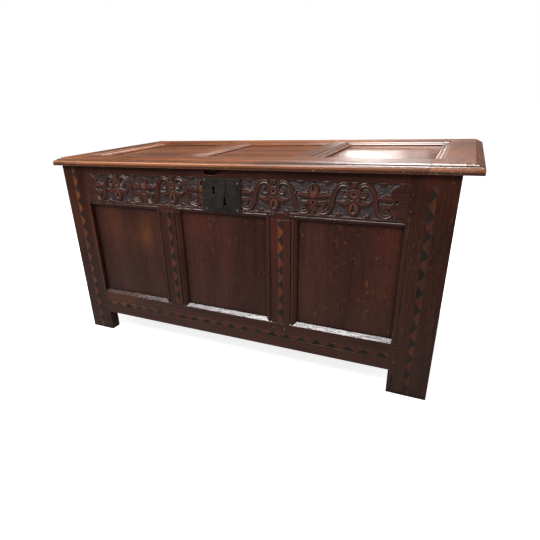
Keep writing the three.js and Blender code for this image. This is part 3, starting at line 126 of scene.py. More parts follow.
def soft_edge(tree, radius):
    soft = node(tree, "Bevel", {"Radius": radius}, samples=4).outputs["Normal"]
    face = node(tree, "NewGeometry").outputs["Normal"]
    return soft, node(tree, "VectorMath", {0: soft, 1: face}, operation="DOT_PRODUCT").outputs["Value"]


def bare_material(name):
    material = bpy.data.materials.new(name)
    material.use_nodes = True
    material.node_tree.nodes.clear()
    return material, material.node_tree


def surface(tree, colour, rough, relief, depth, strength, soft, **more):
    bump = node(tree, "Bump", {"Height": relief, "Distance": depth, "Strength": strength, "Normal": soft})
    inputs = {"Base Color": colour, "Roughness": rough, "Normal": bump.outputs["Normal"]}
    shader = node(tree, "BsdfPrincipled", inputs)
    for socket, value in more.items():
        link(tree, value, shader.inputs[socket.replace("_", " ")])
    tree.links.new(shader.outputs[0], node(tree, "OutputMaterial").inputs["Surface"])


PORE_BROWN, FOOT_DUST = (0.008, 0.005, 0.004, 1), (0.046, 0.030, 0.026, 1)
HOLLOW_REACH, QUIRK_REACH, EDGE_ROUND = 0.016, 0.0035, 0.0022  # metres
DUST_HEIGHT = 0.32


def ray_flecks(tree, wood, grain, shift, warm, share):
    where = stretched(tree, grain, 30.0, 46.0, shift)
    curl = noise(tree, where, 1.0, 0.0, Distortion=0.8)
    away = sums(tree, "ABSOLUTE", sums(tree, "SUBTRACT", curl, 0.5))
    shown = spread(tree, noise(tree, where, 1.7, 1.0), 0.52, 0.6, 0.0, share)
    mark = times(tree, spread(tree, away, 0.024, 0.008), shown)
    return blended(tree, mark, wood, tinted(warm, 2.0, 2.2, 2.4))


def polish_and_highlight_spot(tree, wood, fine, pore, centre, reach, share, colour):
    offset = node(tree, "VectorMath", {0: place(tree), 1: centre}, operation="SUBTRACT").outputs["Vector"]
    shape = (1 / reach[0], 1, 1 / reach[1])
    squeezed = node(tree, "VectorMath", {0: offset, 1: shape}, operation="MULTIPLY").outputs["Vector"]
    away = node(tree, "VectorMath", {0: squeezed}, operation="LENGTH").outputs["Value"]
    away = plus(tree, away, spread(tree, fine, 0.3, 0.7, -0.4, 0.4), spread(tree, pore, 0.3, 0.7, -0.35, 0.35))
    return blended(tree, spread(tree, away, 1.0, 0.1, 0.0, share), wood, colour)


# dark, light and warm are the wood's colours, and gloss is how rough its wax is. sheen is the share
# of the wax's shine on upright faces. The brightness of upright faces is a painted shade, and so is part
# of the darkening of hollows and narrow grooves, the rest being dirt. A spot has its centre, its reach
# along X and Z in metres, its share and its colour; most are polish, the one on the left stile's bead
# is a painted highlight. colouring and working are the extra steps of a piece that is moulded or carved.
def oak(name, grain, dark, light, warm, gloss=0.27, sheen=0.10, pores=1.0, flecks=0.0, hollow_dirt_and_shade=1.0,
        rubbed=0.5, wavy=1.1, side_shade=1.0, quirk_dirt_and_shade=0.5, dust=0.45, seed=0.0, polish_and_highlights=(),
        colouring=None, working=None):
    material, tree = bare_material(name)
    shift = (seed * 3.1, seed * 1.7, seed * 2.3)
    figure = stretched(tree, grain, 1.2, 14.0, shift)
    bands = noise(tree, figure, 1.0, 4.0, Roughness=0.55, Distortion=0.6)
    fine = noise(tree, stretched(tree, grain, 6.0, 260.0, shift), 1.0, 3.0, Roughness=0.6)
    pore = noise(tree, stretched(tree, grain, 38.0, 900.0, shift), 1.0, 1.0)
    patch = noise(tree, stretched(tree, grain, 3.0, 5.0, shift), 1.0, 3.0)
    wood = blended(tree, spread(tree, bands, 0.35, 0.66), dark, light)
    wood = blended(tree, spread(tree, patch, 0.5, 0.72, 0.0, 0.55), wood, warm)
    wood = shaded(tree, wood, spread(tree, fine, 0.35, 0.7, 0.74, 1.14))
    pit = spread(tree, pore, 0.6, 0.68, 0.0, 0.5 * pores)
    wood = blended(tree, pit, wood, PORE_BROWN)
    sawn = node(tree, "SeparateXYZ", {"Vector": node(tree, "TexCoord").outputs["Normal"]})
    end_grain = spread(tree, sums(tree, "ABSOLUTE", sawn.outputs["XYZ".index(grain)]), 0.8, 0.95)
    wood = blended(tree, times(tree, end_grain, 0.6), wood, tinted(dark, 0.5, 0.5, 0.5))
    if flecks:
        wood = ray_flecks(tree, wood, grain, shift, warm, flecks)
    for centre, reach, share, colour in polish_and_highlights:
        wood = polish_and_highlight_spot(tree, wood, fine, pore, centre, reach, share, colour)
    up_face = node(tree, "SeparateXYZ", {"Vector": node(tree, "NewGeometry").outputs["Normal"]}).outputs["Z"]
    # Upright and downward faces made darker by the side shade share: painted shade.
    wood = shaded(tree, wood, spread(tree, up_face, 0.05, 0.4, side_shade, 1.0))
    if colouring:
        wood = colouring(tree, wood, bands, up_face)
    else:
        height = node(tree, "SeparateXYZ", {"Vector": place(tree)}).outputs["Z"]
        wood = blended(tree, spread(tree, height, DUST_HEIGHT, 0.0, 0.0, dust), wood, FOOT_DUST)
    # Hollows and narrow grooves darkened by ambient occlusion: partly dirt and wax, partly painted shade.
    dirt_and_shade_in_hollows = spread(tree, openness(tree, HOLLOW_REACH), 0.45, 0.95, 1.0 - 0.75 * hollow_dirt_and_shade, 1.0)
    dirt_and_shade_in_quirks = spread(tree, openness(tree, QUIRK_REACH), 0.4, 0.85, 1.0 - quirk_dirt_and_shade, 1.0)
    wood = shaded(tree, wood, times(tree, dirt_and_shade_in_hollows, dirt_and_shade_in_quirks))
    soft, turn = soft_edge(tree, EDGE_ROUND)
    edge = spread(tree, turn, 0.995, 0.86, 0.0, 1.0)
    worn = times(tree, edge, spread(tree, patch, 0.35, 0.65, 0.2, 1.0))
    wood = blended(tree, times(tree, worn, rubbed), wood, tinted(warm, 1.9, 1.9, 1.9))
    smear = noise(tree, stretched(tree, grain, 9.0, 22.0, shift), 1.0, 4.0)
    uneven = min(wavy, 1)
    rough = spread(tree, smear, 0.3, 0.7, gloss - 0.08 * uneven, gloss + 0.1 * uneven)
    rough = plus(tree, rough, times(tree, pit, 0.3), times(tree, end_grain, 0.25))
    torn = noise(tree, stretched(tree, grain, 60.0, 400.0, shift), 1.0, 4.0)
    relief = plus(tree, times(tree, fine, 0.35), times(tree, pit, -1.0), times(tree, smear, wavy),
                  times(tree, torn, end_grain, 2.0))
    waxed = spread(tree, plus(tree, up_face, times(tree, worn, 0.5)), 0.1, 0.6, sheen, 1.0)
    if working:
        wood, relief, rough, waxed = working(tree, warm, wood, relief, rough, waxed)
    rough = sums(tree, "SUBTRACT", rough, times(tree, waxed, 0.05))
    surface(tree, wood, rough, relief, 0.0005, 0.6, soft, Specular_Tint=grey(tree, waxed), Specular_IOR_Level=1.0)
    return material


def finish_nodes(material, *names):
    for name in names:
        mesh = nodes[name].data
        mesh.materials.clear()
        mesh.materials.append(material)


ORANGE, RED, BEAD_HIGHLIGHT = (0.12, 0.036, 0.011, 1), (0.082, 0.016, 0.009, 1), (0.095, 0.030, 0.015, 1)
STILE = dict(dark=(0.027, 0.0090, 0.0064, 1), light=(0.052, 0.0172, 0.0114, 1), warm=(0.066, 0.0205, 0.0098, 1))
LEFT_STILE = dict(dark=(0.026, 0.0074, 0.0045, 1), light=(0.047, 0.0130, 0.0072, 1), warm=(0.072, 0.019, 0.007, 1),
                  quirk_dirt_and_shade=0.3, hollow_dirt_and_shade=0.7)
MUNTIN = dict(dark=(0.037, 0.0112, 0.0080, 1), light=(0.070, 0.0205, 0.0135, 1), warm=(0.095, 0.0255, 0.0120, 1))
# The long spot on the left stile's inner bead is a painted highlight.
LEFT_STILE_POLISH_AND_HIGHLIGHT = [(at(20, 0, 450), (0.04, 0.13), 0.2, ORANGE), (at(91, 0, 330), (0.012, 0.3), 0.6, BEAD_HIGHLIGHT)]
RIGHT_STILE_POLISH = [(at(1180, 0, 605), (0.03, 0.03), 0.5, RED)]
RIGHT_MUNTIN_POLISH = [(at(790, 0, 430), (0.03, 0.09), 0.6, RED)]
finish_nodes(oak("left_stile_oak", "Z", **LEFT_STILE, polish_and_highlights=LEFT_STILE_POLISH_AND_HIGHLIGHT, seed=1), "front_left_stile")
finish_nodes(oak("right_stile_oak", "Z", **STILE, pores=1.8, flecks=0.4, polish_and_highlights=RIGHT_STILE_POLISH, seed=2),
             "front_right_stile")
finish_nodes(oak("left_muntin_oak", "Z", **MUNTIN, seed=3), "front_left_muntin")
finish_nodes(oak("right_muntin_oak", "Z", **MUNTIN, polish_and_highlights=RIGHT_MUNTIN_POLISH, seed=4), "front_right_muntin")
RAIL = dict(dark=(0.030, 0.0096, 0.0072, 1), light=(0.058, 0.0180, 0.0122, 1), warm=(0.074, 0.0205, 0.0108, 1))
finish_nodes(oak("top_rail_oak", "X", **RAIL, wavy=0.45, seed=5), "front_top_rail")
BOTTOM_RAIL = dict(dark=(0.034, 0.0108, 0.0080, 1), light=(0.068, 0.0205, 0.0135, 1), warm=(0.088, 0.024, 0.0125, 1))
BOTTOM_RAIL_POLISH = [(at(170, 0, 145), (0.12, 0.03), 0.5, ORANGE)]
finish_nodes(oak("bottom_rail_oak", "X", **BOTTOM_RAIL, wavy=0.6, polish_and_highlights=BOTTOM_RAIL_POLISH, seed=6),
             "front_bottom_rail")
finish_nodes(oak("end_rail_oak", "Y", **RAIL, seed=7),
             "left_end_top_rail", "left_end_bottom_rail", "right_end_top_rail", "right_end_bottom_rail")
finish_nodes(oak("end_muntin_oak", "Z", **STILE, seed=8), "left_end_muntin", "right_end_muntin")

# Frieze on the top rail: cut with gouges into the oak of the rail itself. Flowers hang and stand by
# turns with scrolls between them, each with a line along it, and the sunk ground is punched all over.
# The rail is taken over from its plain solid, with room cleared for the fine carving. Sizes in mm.
FRIEZE_LOW, FRIEZE_HIGH, FRIEZE_DEEP, FRIEZE_MARGIN = 510.0, 597.0, 5.5, 1.5
FRIEZE_TALL = FRIEZE_HIGH - FRIEZE_LOW
CARVING_STEP, CARVING_BACK, ROOM_BACK = 1.0, 6.9, 6.6
LEFT_FIELD, RIGHT_FIELD = (101.0, 563.0), (677.0, 1126.0)
LEFT_FLOWERS, RIGHT_FLOWERS = (124.05, 227.5, 337.1, 445.0, 553.0), (672.0, 782.5, 895.0, 1001.0, 1106.0)
FLOWER_REACH, EYE_REACH = 50, 20  # from a flower's middle to the end of its leaves and of its holes
LOCK_LEFT, LOCK_RIGHT = 561.5, 678.5  # the carving stops at the lock plate
# Each row of a scroll: how far it is on the way from hanging to standing flower, its height in the
# frieze, and half its width. All are shares, the last two of the frieze's height.
SCROLL = ((0.255, 0.747, 0.025), (0.286, 0.667, 0.034), (0.236, 0.603, 0.04), (0.159, 0.626, 0.046),
          (0.114, 0.724, 0.048), (0.118, 0.839, 0.05), (0.182, 0.925, 0.053), (0.282, 0.937, 0.057),
          (0.382, 0.874, 0.062), (0.455, 0.741, 0.066), (0.505, 0.575, 0.068), (0.523, 0.414, 0.068),
          (0.555, 0.253, 0.066), (0.618, 0.132, 0.062), (0.709, 0.063, 0.057), (0.809, 0.057, 0.052),
          (0.891, 0.126, 0.048), (0.918, 0.241, 0.045), (0.873, 0.345, 0.042), (0.8, 0.368, 0.038),
          (0.745, 0.305, 0.033), (0.764, 0.23, 0.028), (0.809, 0.224, 0.022))
THORNS = (((0.518, 0.575), (0.536, 0.437), (0.582, 0.724)), ((0.509, 0.46), (0.545, 0.322), (0.455, 0.253)))
HANGING = dict(
    petal=(0.264, 0.178, 0.23), heart=(0.655, 0.16, 0.15), stem=((0.1, 1.02), (0.07, 0.85)),
    drop=(0.126, 0.368, 0.06), eye=(0.655, 0.045), lobe=(0.0, 0.437, 0.098),
    leaves=(((0.05, 0.42), (0.17, 0.34), (0.293, 0.3), (0.408, 0.345), (0.477, 0.414), (0.5, 0.471),
             (0.385, 0.448), (0.247, 0.46), (0.14, 0.53)),),
    veins=(((0.1, 0.46), (0.25, 0.385), (0.47, 0.45)),))
STANDING = dict(
    petal=(0.7, 0.178, 0.24), heart=(0.38, 0.165, 0.12), stem=((0.055, 0.32), (0.075, -0.02)),
    drop=(0.7, 0.897, 0.052), eye=(0.368, 0.035), lobe=(1.0, 0.414, 0.1),
    leaves=(((0.1, 0.52), (0.19, 0.52), (0.4, 0.53), (0.5, 0.58), (0.49, 0.62), (0.33, 0.68), (0.12, 0.64)),
            ((0.1, 0.3), (0.15, 0.3), (0.285, 0.275), (0.375, 0.29), (0.39, 0.35), (0.33, 0.41), (0.12, 0.4))),
    veins=(((0.16, 0.58), (0.33, 0.605), (0.48, 0.6)), ((0.14, 0.35), (0.27, 0.345), (0.37, 0.32))))
SCROLL_LINE, LINE_WIDE, VEIN, VEIN_WIDE, DISH = 0.42, 1.4, 0.12, 1.1, 0.12  # depths are shares of the relief
SCROLL_FULLER, THORN_FULLER, LEAF_FULLER, HEART_FULLER = 1.2, 0.8, 2.2, 1.5  # past the drawn outline
SCROLL_EDGE, CUT_EDGE, FIELD_EDGE, HOLE_EDGE = 1.8, 2.0, 1.6, 1.2  # how far each edge rolls over


def up(share):
    return FRIEZE_LOW + share * FRIEZE_TALL


def to_segment(x, z, start, end):
    ex, ez = end[0] - start[0], end[1] - start[1]
    t = np.clip(((x - start[0]) * ex + (z - start[1]) * ez) / max(ex * ex + ez * ez, 1e-9), 0, 1)
    return np.hypot(x - start[0] - t * ex, z - start[1] - t * ez), t


def within(x, z, outline):
    nearest, inside = np.full(x.shape, 1e9), np.zeros(x.shape, bool)
    for start, end in zip(outline, outline[1:] + outline[:1]):
        nearest = np.minimum(nearest, to_segment(x, z, start, end)[0])
        if start[1] != end[1]:
            crossing = start[0] + (z - start[1]) * (end[0] - start[0]) / (end[1] - start[1])
            inside ^= ((start[1] > z) != (end[1] > z)) & (x < crossing)
    return np.where(inside, nearest, -nearest)


def oval(x, share, across, high, steps=28):
    turns = [2 * math.pi * step / steps for step in range(steps)]
    return [(x + across * FRIEZE_TALL * math.cos(turn), up(share + high * math.sin(turn))) for turn in turns]


def rounded(inside, edge):
    near = np.clip(inside / edge, 0, 1)
    return np.sqrt(1 - (1 - near) ** 2)


def smooth_line(points, steps):
    points = np.array(points, float)
    padded = np.vstack([2 * points[0] - points[1], points, 2 * points[-1] - points[-2]])
    line = []
    for number in range(len(points) - 1):
        a, b, c, d = padded[number:number + 4]
        for step in range(steps):
            t = step / steps
            bend, twist = 2 * a - 5 * b + 4 * c - d, 3 * b - a - 3 * c + d
            line.append(0.5 * (2 * b + (c - a) * t + bend * t * t + twist * t ** 3))
    return line + [points[-1]]


def carve_scroll(x, z, height, hanging, standing):
    span = standing - hanging
    line = smooth_line([(hanging + along * span, up(share), half * FRIEZE_TALL) for along, share, half in SCROLL], 3)
    deepest, middle = np.full(x.shape, -1e9), np.full(x.shape, 1e9)
    for start, end in zip(line, line[1:]):
        away, t = to_segment(x, z, start[:2], end[:2])
        inside = start[2] + t * (end[2] - start[2]) - away
        middle = np.where(inside > deepest, away, middle)
        deepest = np.maximum(deepest, inside)
    form = rounded(deepest + SCROLL_FULLER, SCROLL_EDGE) * (1 - SCROLL_LINE * np.exp(-(middle / LINE_WIDE) ** 2))
    height = np.maximum(height, form)
    for thorn in THORNS:
        outline = [(hanging + along * span, up(share)) for along, share in thorn]
        height = np.maximum(height, 0.92 * rounded(within(x, z, outline) + THORN_FULLER, CUT_EDGE))
    return height


def carve_flower(x, z, height, middle, form, at_end):
    for side in (-1, 1):
        for leaf, vein in zip(form["leaves"], form["veins"]):
            outline = [(middle + side * across * FRIEZE_TALL, up(share)) for across, share in leaf]
            line = [(middle + side * across * FRIEZE_TALL, up(share)) for across, share in vein]
            blade = 0.99 * rounded(within(x, z, outline) + LEAF_FULLER, CUT_EDGE)
            for start, end in zip(line, line[1:]):
                blade = blade * (1 - VEIN * np.exp(-(to_segment(x, z, start, end)[0] / VEIN_WIDE) ** 2))
            height = np.maximum(height, blade)
        share, away, radius = form["lobe"]
        lobe = oval(middle + side * away * FRIEZE_TALL, share, radius, radius, 16)
        height = np.maximum(height, rounded(within(x, z, lobe), CUT_EDGE))
    stem = [(middle + across * FRIEZE_TALL, up(share)) for across, share in form["stem"]]
    stem = stem + [(2 * middle - px, pz) for px, pz in stem[::-1]]
    height = np.maximum(height, 0.96 * rounded(within(x, z, stem), CUT_EDGE))
    for part in ("heart", "petal"):
        inside = within(x, z, oval(middle, *form[part])) + HEART_FULLER
        dish = 0.0 if at_end else DISH
        height = np.maximum(height, rounded(inside, CUT_EDGE) * (1 - dish * np.clip((inside - 3.5) / 6, 0, 1)))
    return height


def drill_flower(x, z, height, middle, form, at_end):
    share, radius = (0.5, 0.038) if at_end else form["eye"]
    holes = [oval(middle, share, radius, radius, 12)]
    if not at_end:
        low, high, across = form["drop"]
        turns = [math.pi * (1 + step / 8) for step in range(9)]
        foot = [(middle + across * FRIEZE_TALL * math.cos(turn), up(low + across + across * math.sin(turn)))
                for turn in turns]
        holes.append(foot + [(middle, up(high))])
    for outline in holes:
        height = np.minimum(height, np.clip(-within(x, z, outline) / HOLE_EDGE + 0.2, 0.0, 1.0) ** 0.6)
    return height


def carved_height(x, z, flowers, ends_left):
    height = np.zeros(x.shape)
    for number, pair in enumerate(zip(flowers, flowers[1:])):
        hanging, standing = pair[::-1] if number % 2 == 0 else pair
        near = (x > min(pair) - 2) & (x < max(pair) + 2)
        height[near] = carve_scroll(x[near], z[near], height[near], hanging, standing)
    forms = [(STANDING if number % 2 == 0 else HANGING) for number in range(len(flowers))]
    end = flowers[0] if ends_left else flowers[-1]
    for middle, form in zip(flowers, forms):
        near = abs(x - middle) < FLOWER_REACH
        height[near] = carve_flower(x[near], z[near], height[near], middle, form, middle == end)
    beyond_end = (end - x) if ends_left else (x - end)
    beyond_lock = (x - LOCK_LEFT) if ends_left else (LOCK_RIGHT - x)
    for inside in (z - FRIEZE_HIGH, FRIEZE_LOW - z, beyond_end, beyond_lock):
        height = np.maximum(height, rounded(inside, FIELD_EDGE))
    for middle, form in zip(flowers, forms):
        near = abs(x - middle) < EYE_REACH
        height[near] = drill_flower(x[near], z[near], height[near], middle, form, middle == end)
    return height


def cut_depth(height, grid):
    rng = np.random.default_rng(7)
    ground = np.clip((0.35 - height) / 0.3, 0, 1)
    punched = ground * rng.uniform(-0.5, 0.3, height.shape)
    tooled = np.clip(1 - ground, 0, 1) * rng.uniform(-0.04, 0.04, height.shape)
    depth = FRIEZE_DEEP * (1 - height) + punched + tooled
    edge = (abs(grid[:, 0]) > 0.4999) | (abs(grid[:, 1]) > 0.4999)
    return np.where(edge, 0.0, np.maximum(depth, 0.0))


def new_piece(name, shape, material, body):
    data = bpy.data.meshes.new(name)
    shape.to_mesh(data)
    shape.free()
    data.materials.append(material)
    made = bpy.data.objects.new(name, data)
    bpy.context.scene.collection.objects.link(made)
    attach(made, body)


def carving(name, left, right, flowers, ends_left):
    foot, head = FRIEZE_LOW - FRIEZE_MARGIN, FRIEZE_HIGH + FRIEZE_MARGIN
    columns, rows = int((right - left) / CARVING_STEP), int((head - foot) / CARVING_STEP)
    mesh = bmesh.new()
    bmesh.ops.create_grid(mesh, x_segments=columns, y_segments=rows, size=0.5)
    grid = np.array([vert.co[:] for vert in mesh.verts])
    x = left + (grid[:, 0] + 0.5) * (right - left)
    z = foot + (grid[:, 1] + 0.5) * (head - foot)
    height = carved_height(x, z, flowers, ends_left)
    layer = mesh.verts.layers.float.new("carved_height")
    for vert, px, pz, py, value in zip(mesh.verts, x, z, cut_depth(height, grid), height):
        vert.co = at(px, py, pz)
        vert[layer] = value
    rim = [edge for edge in mesh.edges if edge.is_boundary]
    pushed = bmesh.ops.extrude_edge_only(mesh, edges=rim)["geom"]
    for part in pushed:
        if isinstance(part, bmesh.types.BMVert):
            part.co.y = at(0, CARVING_BACK, 0).y
    open_edges = [part for part in pushed if isinstance(part, bmesh.types.BMEdge) and part.is_boundary]
    bmesh.ops.edgeloop_fill(mesh, edges=open_edges)
    bmesh.ops.recalc_face_normals(mesh, faces=mesh.faces)
    for face in mesh.faces:
        face.smooth = len(face.verts) == 4
    new_piece(name, mesh, CARVED_OAK, "carcass")


GROUND_BROWN = (0.0335, 0.0188, 0.0180, 1)


def ground_and_ridges(tree, warm, wood, relief, rough, waxed):
    height = node(tree, "Attribute", attribute_name="carved_height").outputs["Fac"]
    ground = spread(tree, height, 0.2, 0.05)
    # Lighter, whitish lines along the upper edges of ribbons and leaves: a painted highlight.
    painted_ridge_highlight = band(tree, height, (0.62, 0.84), (0.985, 0.9))
    wood = blended(tree, times(tree, painted_ridge_highlight, 0.6), wood, tinted(warm, 2.0, 2.5, 2.8))
    wood = blended(tree, times(tree, ground, 0.85), wood, GROUND_BROWN)
    punch = node(tree, "TexVoronoi", {"Vector": place(tree), "Scale": 330.0}).outputs["Distance"]
    relief = plus(tree, relief, times(tree, punch, ground, 5.0))
    rough = sums(tree, "SUBTRACT", rough, times(tree, ground, 0.06))
    waxed = sums(tree, "MAXIMUM", times(tree, waxed, 0.9), times(tree, ground, 0.6))
    return wood, relief, rough, waxed


CARVED = dict(dark=(0.029, 0.0105, 0.0084, 1), light=(0.054, 0.0182, 0.0134, 1), warm=(0.070, 0.0220, 0.0132, 1))
CARVED_OAK = oak("carved_rail_oak", "X", **CARVED, wavy=0.5, quirk_dirt_and_shade=0.3, seed=5, working=ground_and_ridges)
carving("carving_left", *LEFT_FIELD, LEFT_FLOWERS, True)
carving("carving_right", *RIGHT_FIELD, RIGHT_FLOWERS, False)


def filled_box(mesh, low, high):
    box = bmesh.ops.create_cube(mesh, size=1.0)["verts"]
    bmesh.ops.transform(mesh, verts=box, matrix=Matrix.LocRotScale((low + high) / 2, None, high - low))


blank = nodes["front_top_rail"].data.copy()
mesh = bmesh.new()
mesh.from_mesh(blank)
bmesh.ops.remove_doubles(mesh, verts=mesh.verts, dist=1e-6)
mesh.to_mesh(blank)
mesh.free()
rail = bpy.data.objects.new("carved_rail", blank)
bpy.context.scene.collection.objects.link(rail)
rooms = bmesh.new()
for left, right in (LEFT_FIELD, RIGHT_FIELD):
    filled_box(rooms, at(left, -3, FRIEZE_LOW - FRIEZE_MARGIN), at(right, ROOM_BACK, FRIEZE_HIGH + FRIEZE_MARGIN))
room_data = bpy.data.meshes.new("carving_room")
rooms.to_mesh(room_data)
rooms.free()
room = bpy.data.objects.new("carving_room", room_data)
bpy.context.scene.collection.objects.link(room)
cut = rail.modifiers.new("room", "BOOLEAN")
cut.operation, cut.solver, cut.object = "DIFFERENCE", "EXACT", room
bpy.context.view_layer.update()
done = bpy.data.meshes.new_from_object(rail.evaluated_get(bpy.context.evaluated_depsgraph_get()))
rail.modifiers.clear()
rail.data = done
done.name = "carved_rail"
bpy.data.objects.remove(room)
done.materials.clear()
done.materials.append(nodes["front_top_rail"].data.materials[0])
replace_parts(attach(rail, "carcass"), "front_top_rail")

# Panels of the front and the ends: thin quartered oak boards with silvery ray flecks across the
# grain. Their edges are feathered at the back and run dry in the grooves of the frame.
PANEL = dict(dark=(0.031, 0.0097, 0.0070, 1), light=(0.057, 0.0180, 0.0118, 1), warm=(0.072, 0.0215, 0.0098, 1))
GOLDEN = (0.150, 0.052, 0.013, 1)
FRONT_PANELS = {
    "front_left_panel": [(at(290, 13, 395), (0.07, 0.1), 0.3, ORANGE), (at(314, 13, 396), (0.026, 0.055), 0.5, GOLDEN),
                         (at(180, 13, 420), (0.06, 0.12), 0.3, ORANGE)],
    "front_middle_panel": [(at(520, 13, 440), (0.09, 0.05), 0.4, RED)],
    "front_right_panel": [(at(850, 13, 290), (0.05, 0.12), 0.2, GOLDEN), (at(1080, 13, 445), (0.05, 0.06), 0.5, RED)],
}
END_PANELS = ("left_end_front_panel", "left_end_back_panel", "right_end_front_panel", "right_end_back_panel")
for number, (name, polish_and_highlights) in enumerate(FRONT_PANELS.items()):
    flecks = 0.25 + 0.18 * number
    finish_nodes(oak(name + "_oak", "Z", **PANEL, flecks=flecks, polish_and_highlights=polish_and_highlights, seed=10 + number), name)
for number, name in enumerate(END_PANELS):
    finish_nodes(oak(name + "_oak", "Z", **PANEL, flecks=0.3, seed=14 + number), name)

# Back frame with its panels, and the floor boards: the same oak, joined in the same way. They stand
# against the wall or inside the chest, so they were never waxed and have gone dry and greyish.
DRY = dict(dark=(0.085, 0.052, 0.032, 1), light=(0.16, 0.10, 0.063, 1), warm=(0.17, 0.095, 0.05, 1),
           gloss=0.62, rubbed=0.2)
finish_nodes(oak("back_rail_oak", "X", **DRY, seed=20), "back_top_rail", "back_bottom_rail")
finish_nodes(oak("back_upright_oak", "Z", **DRY, seed=21),
             "back_left_stile", "back_right_stile", "back_left_muntin", "back_right_muntin")
finish_nodes(oak("back_panel_oak", "Z", **DRY, seed=22), "back_left_panel", "back_middle_panel", "back_right_panel")
finish_nodes(oak("floor_oak", "Y", **DRY, seed=23), "floor_board_1", "floor_board_2", "floor_board_3", "floor_board_4")

# Sawtooth bands: teeth of bog oak, nearly black, let into the face on a thin lath. The lath shows
# between them as small triangles of holly, stained reddish by the wax.
BOG = dict(dark=(0.010, 0.0082, 0.007, 1), light=(0.024, 0.019, 0.0155, 1), warm=(0.03, 0.021, 0.014, 1),
           gloss=0.42, rubbed=0.1, quirk_dirt_and_shade=0.2, dust=0.1)
finish_nodes(oak("bog_oak", "Z", **BOG, seed=30),
             "left_stile_inlay", "right_stile_inlay", "left_muntin_inlay", "right_muntin_inlay", "bottom_rail_inlay")

HOLLY = dict(dark=(0.060, 0.0185, 0.0105, 1), light=(0.105, 0.032, 0.0160, 1), warm=(0.14, 0.045, 0.0185, 1),
             quirk_dirt_and_shade=0.3, dust=0.15, rubbed=0.1, hollow_dirt_and_shade=0.6, pores=0.4)
BRIGHT_HOLLY = {"left_stile": [(at(48, 1, 520), (0.03, 0.16), 0.6, (0.18, 0.062, 0.021, 1))],
                "right_muntin": [(at(802, 1, 440), (0.03, 0.1), 0.7, (0.18, 0.045, 0.016, 1))]}
HOLLY_BANDS = {  # grain, left and right, low and high
    "left_stile": ("Z", (40.0, 56.0), (6.0, 613.65)), "right_stile": ("Z", (1177.5, 1193.5), (6.0, 594.96)),
    "left_muntin": ("Z", (416.02, 432.02), (167.0, 488.7)), "right_muntin": ("Z", (794.49, 810.49), (167.0, 488.7)),
    "bottom_rail": ("X", (97.6, 1129.4), (111.5, 127.5)),
}
HOLLY_FACE, HOLLY_BACK = 0.06, 1.95
for number, (name, (grain, wide, tall)) in enumerate(HOLLY_BANDS.items()):
    holly = oak(name + "_holly", grain, **HOLLY, polish_and_highlights=BRIGHT_HOLLY.get(name, ()), seed=31 + number)
    lath = bmesh.new()
    filled_box(lath, at(wide[0], HOLLY_FACE, tall[0]), at(wide[1], HOLLY_BACK, tall[1]))
    new_piece(name + "_holly", lath, holly, "carcass")

# Draw-bore pegs: riven oak pins driven through the tenons and cut off nearly flush with the face.
# They are darkened round their edges, partly by dirt and partly as painted shade.
PEG = dict(dark=(0.024, 0.008, 0.006, 1), light=(0.05, 0.016, 0.010, 1), warm=(0.06, 0.02, 0.012, 1))
PEG_OAK = oak("peg_oak", "Y", **PEG, rubbed=0.0, quirk_dirt_and_shade=0.6, seed=50)
FRONT_PEGS = ((86, 572), (86, 531), (1142, 570), (1142, 531), (400, 501), (425, 501), (780, 501), (820, 501),
              (86, 148), (86, 98), (1142, 148), (1142, 98), (400, 139), (425, 139), (780, 139), (815, 139))
PEG_FOOT, PEG_HEAD, PEG_LONG, PEG_MIDDLE = 0.0042, 0.004, 0.006, 2.85
TO_FACE = Matrix.Rotation(math.pi / 2, 3, "X").to_euler()


def smooth_piece(name, mesh, material, body):
    for face in mesh.faces:
        face.smooth = True
    new_piece(name, mesh, material, body)


pegs = bmesh.new()
for x, z in FRONT_PEGS:
    pin = bmesh.ops.create_cone(pegs, cap_ends=True, segments=7, radius1=PEG_FOOT, radius2=PEG_HEAD, depth=PEG_LONG)
    bmesh.ops.transform(pegs, verts=pin["verts"], matrix=Matrix.LocRotScale(at(x, PEG_MIDDLE, z), TO_FACE, None))
smooth_piece("front_pegs", pegs, PEG_OAK, "carcass")

# Lid: a joined frame of waxed oak with three thin panels sunk in moulded wells. Its wood is lighter than
# the front, partly bleached by light and cloths and partly painted light from above, and its upright
# faces carry painted shade. Along its edge run a groove darkened by dirt and painted shade, a knocked
# roll lightened by hands' rubbing and by a painted highlight, and a lower face darkened as painted shade
# under the roll. The places of these are heights and distances in metres.
LID_END, LID_FRONT, END_SHARE = (0.6335, 0.6340), (-0.2882, -0.2887), 0.35
GROOVE_RISE, GROOVE_FALL, GROOVE_SHADE_AND_DIRT = (0.6392, 0.6399), (0.6440, 0.6432), (0.014, 0.0065, 0.0045, 1)
LOWER_FACE, LOWER_FACE_SHADE = (0.6315, 0.6265), (0.05, 0.018, 0.012, 1)
ROLL_RISE, ROLL_FALL, ROLL_WEAR_AND_HIGHLIGHT = (0.6290, 0.6315), (0.6385, 0.6365), (0.40, 0.140, 0.058, 1)
CHIPS_BELOW, CHIP_PALE = (0.6385, 0.6375), (0.62, 0.43, 0.34, 1)
FLAT_TOP, AT_BACK = (0.6450, 0.6468), (0.195, 0.215)


def along_rim(tree):
    where = node(tree, "SeparateXYZ", {"Vector": place(tree)}).outputs
    ends = spread(tree, sums(tree, "ABSOLUTE", where["X"]), *LID_END)
    return sums(tree, "MAXIMUM", times(tree, ends, END_SHARE), spread(tree, where["Y"], *LID_FRONT))


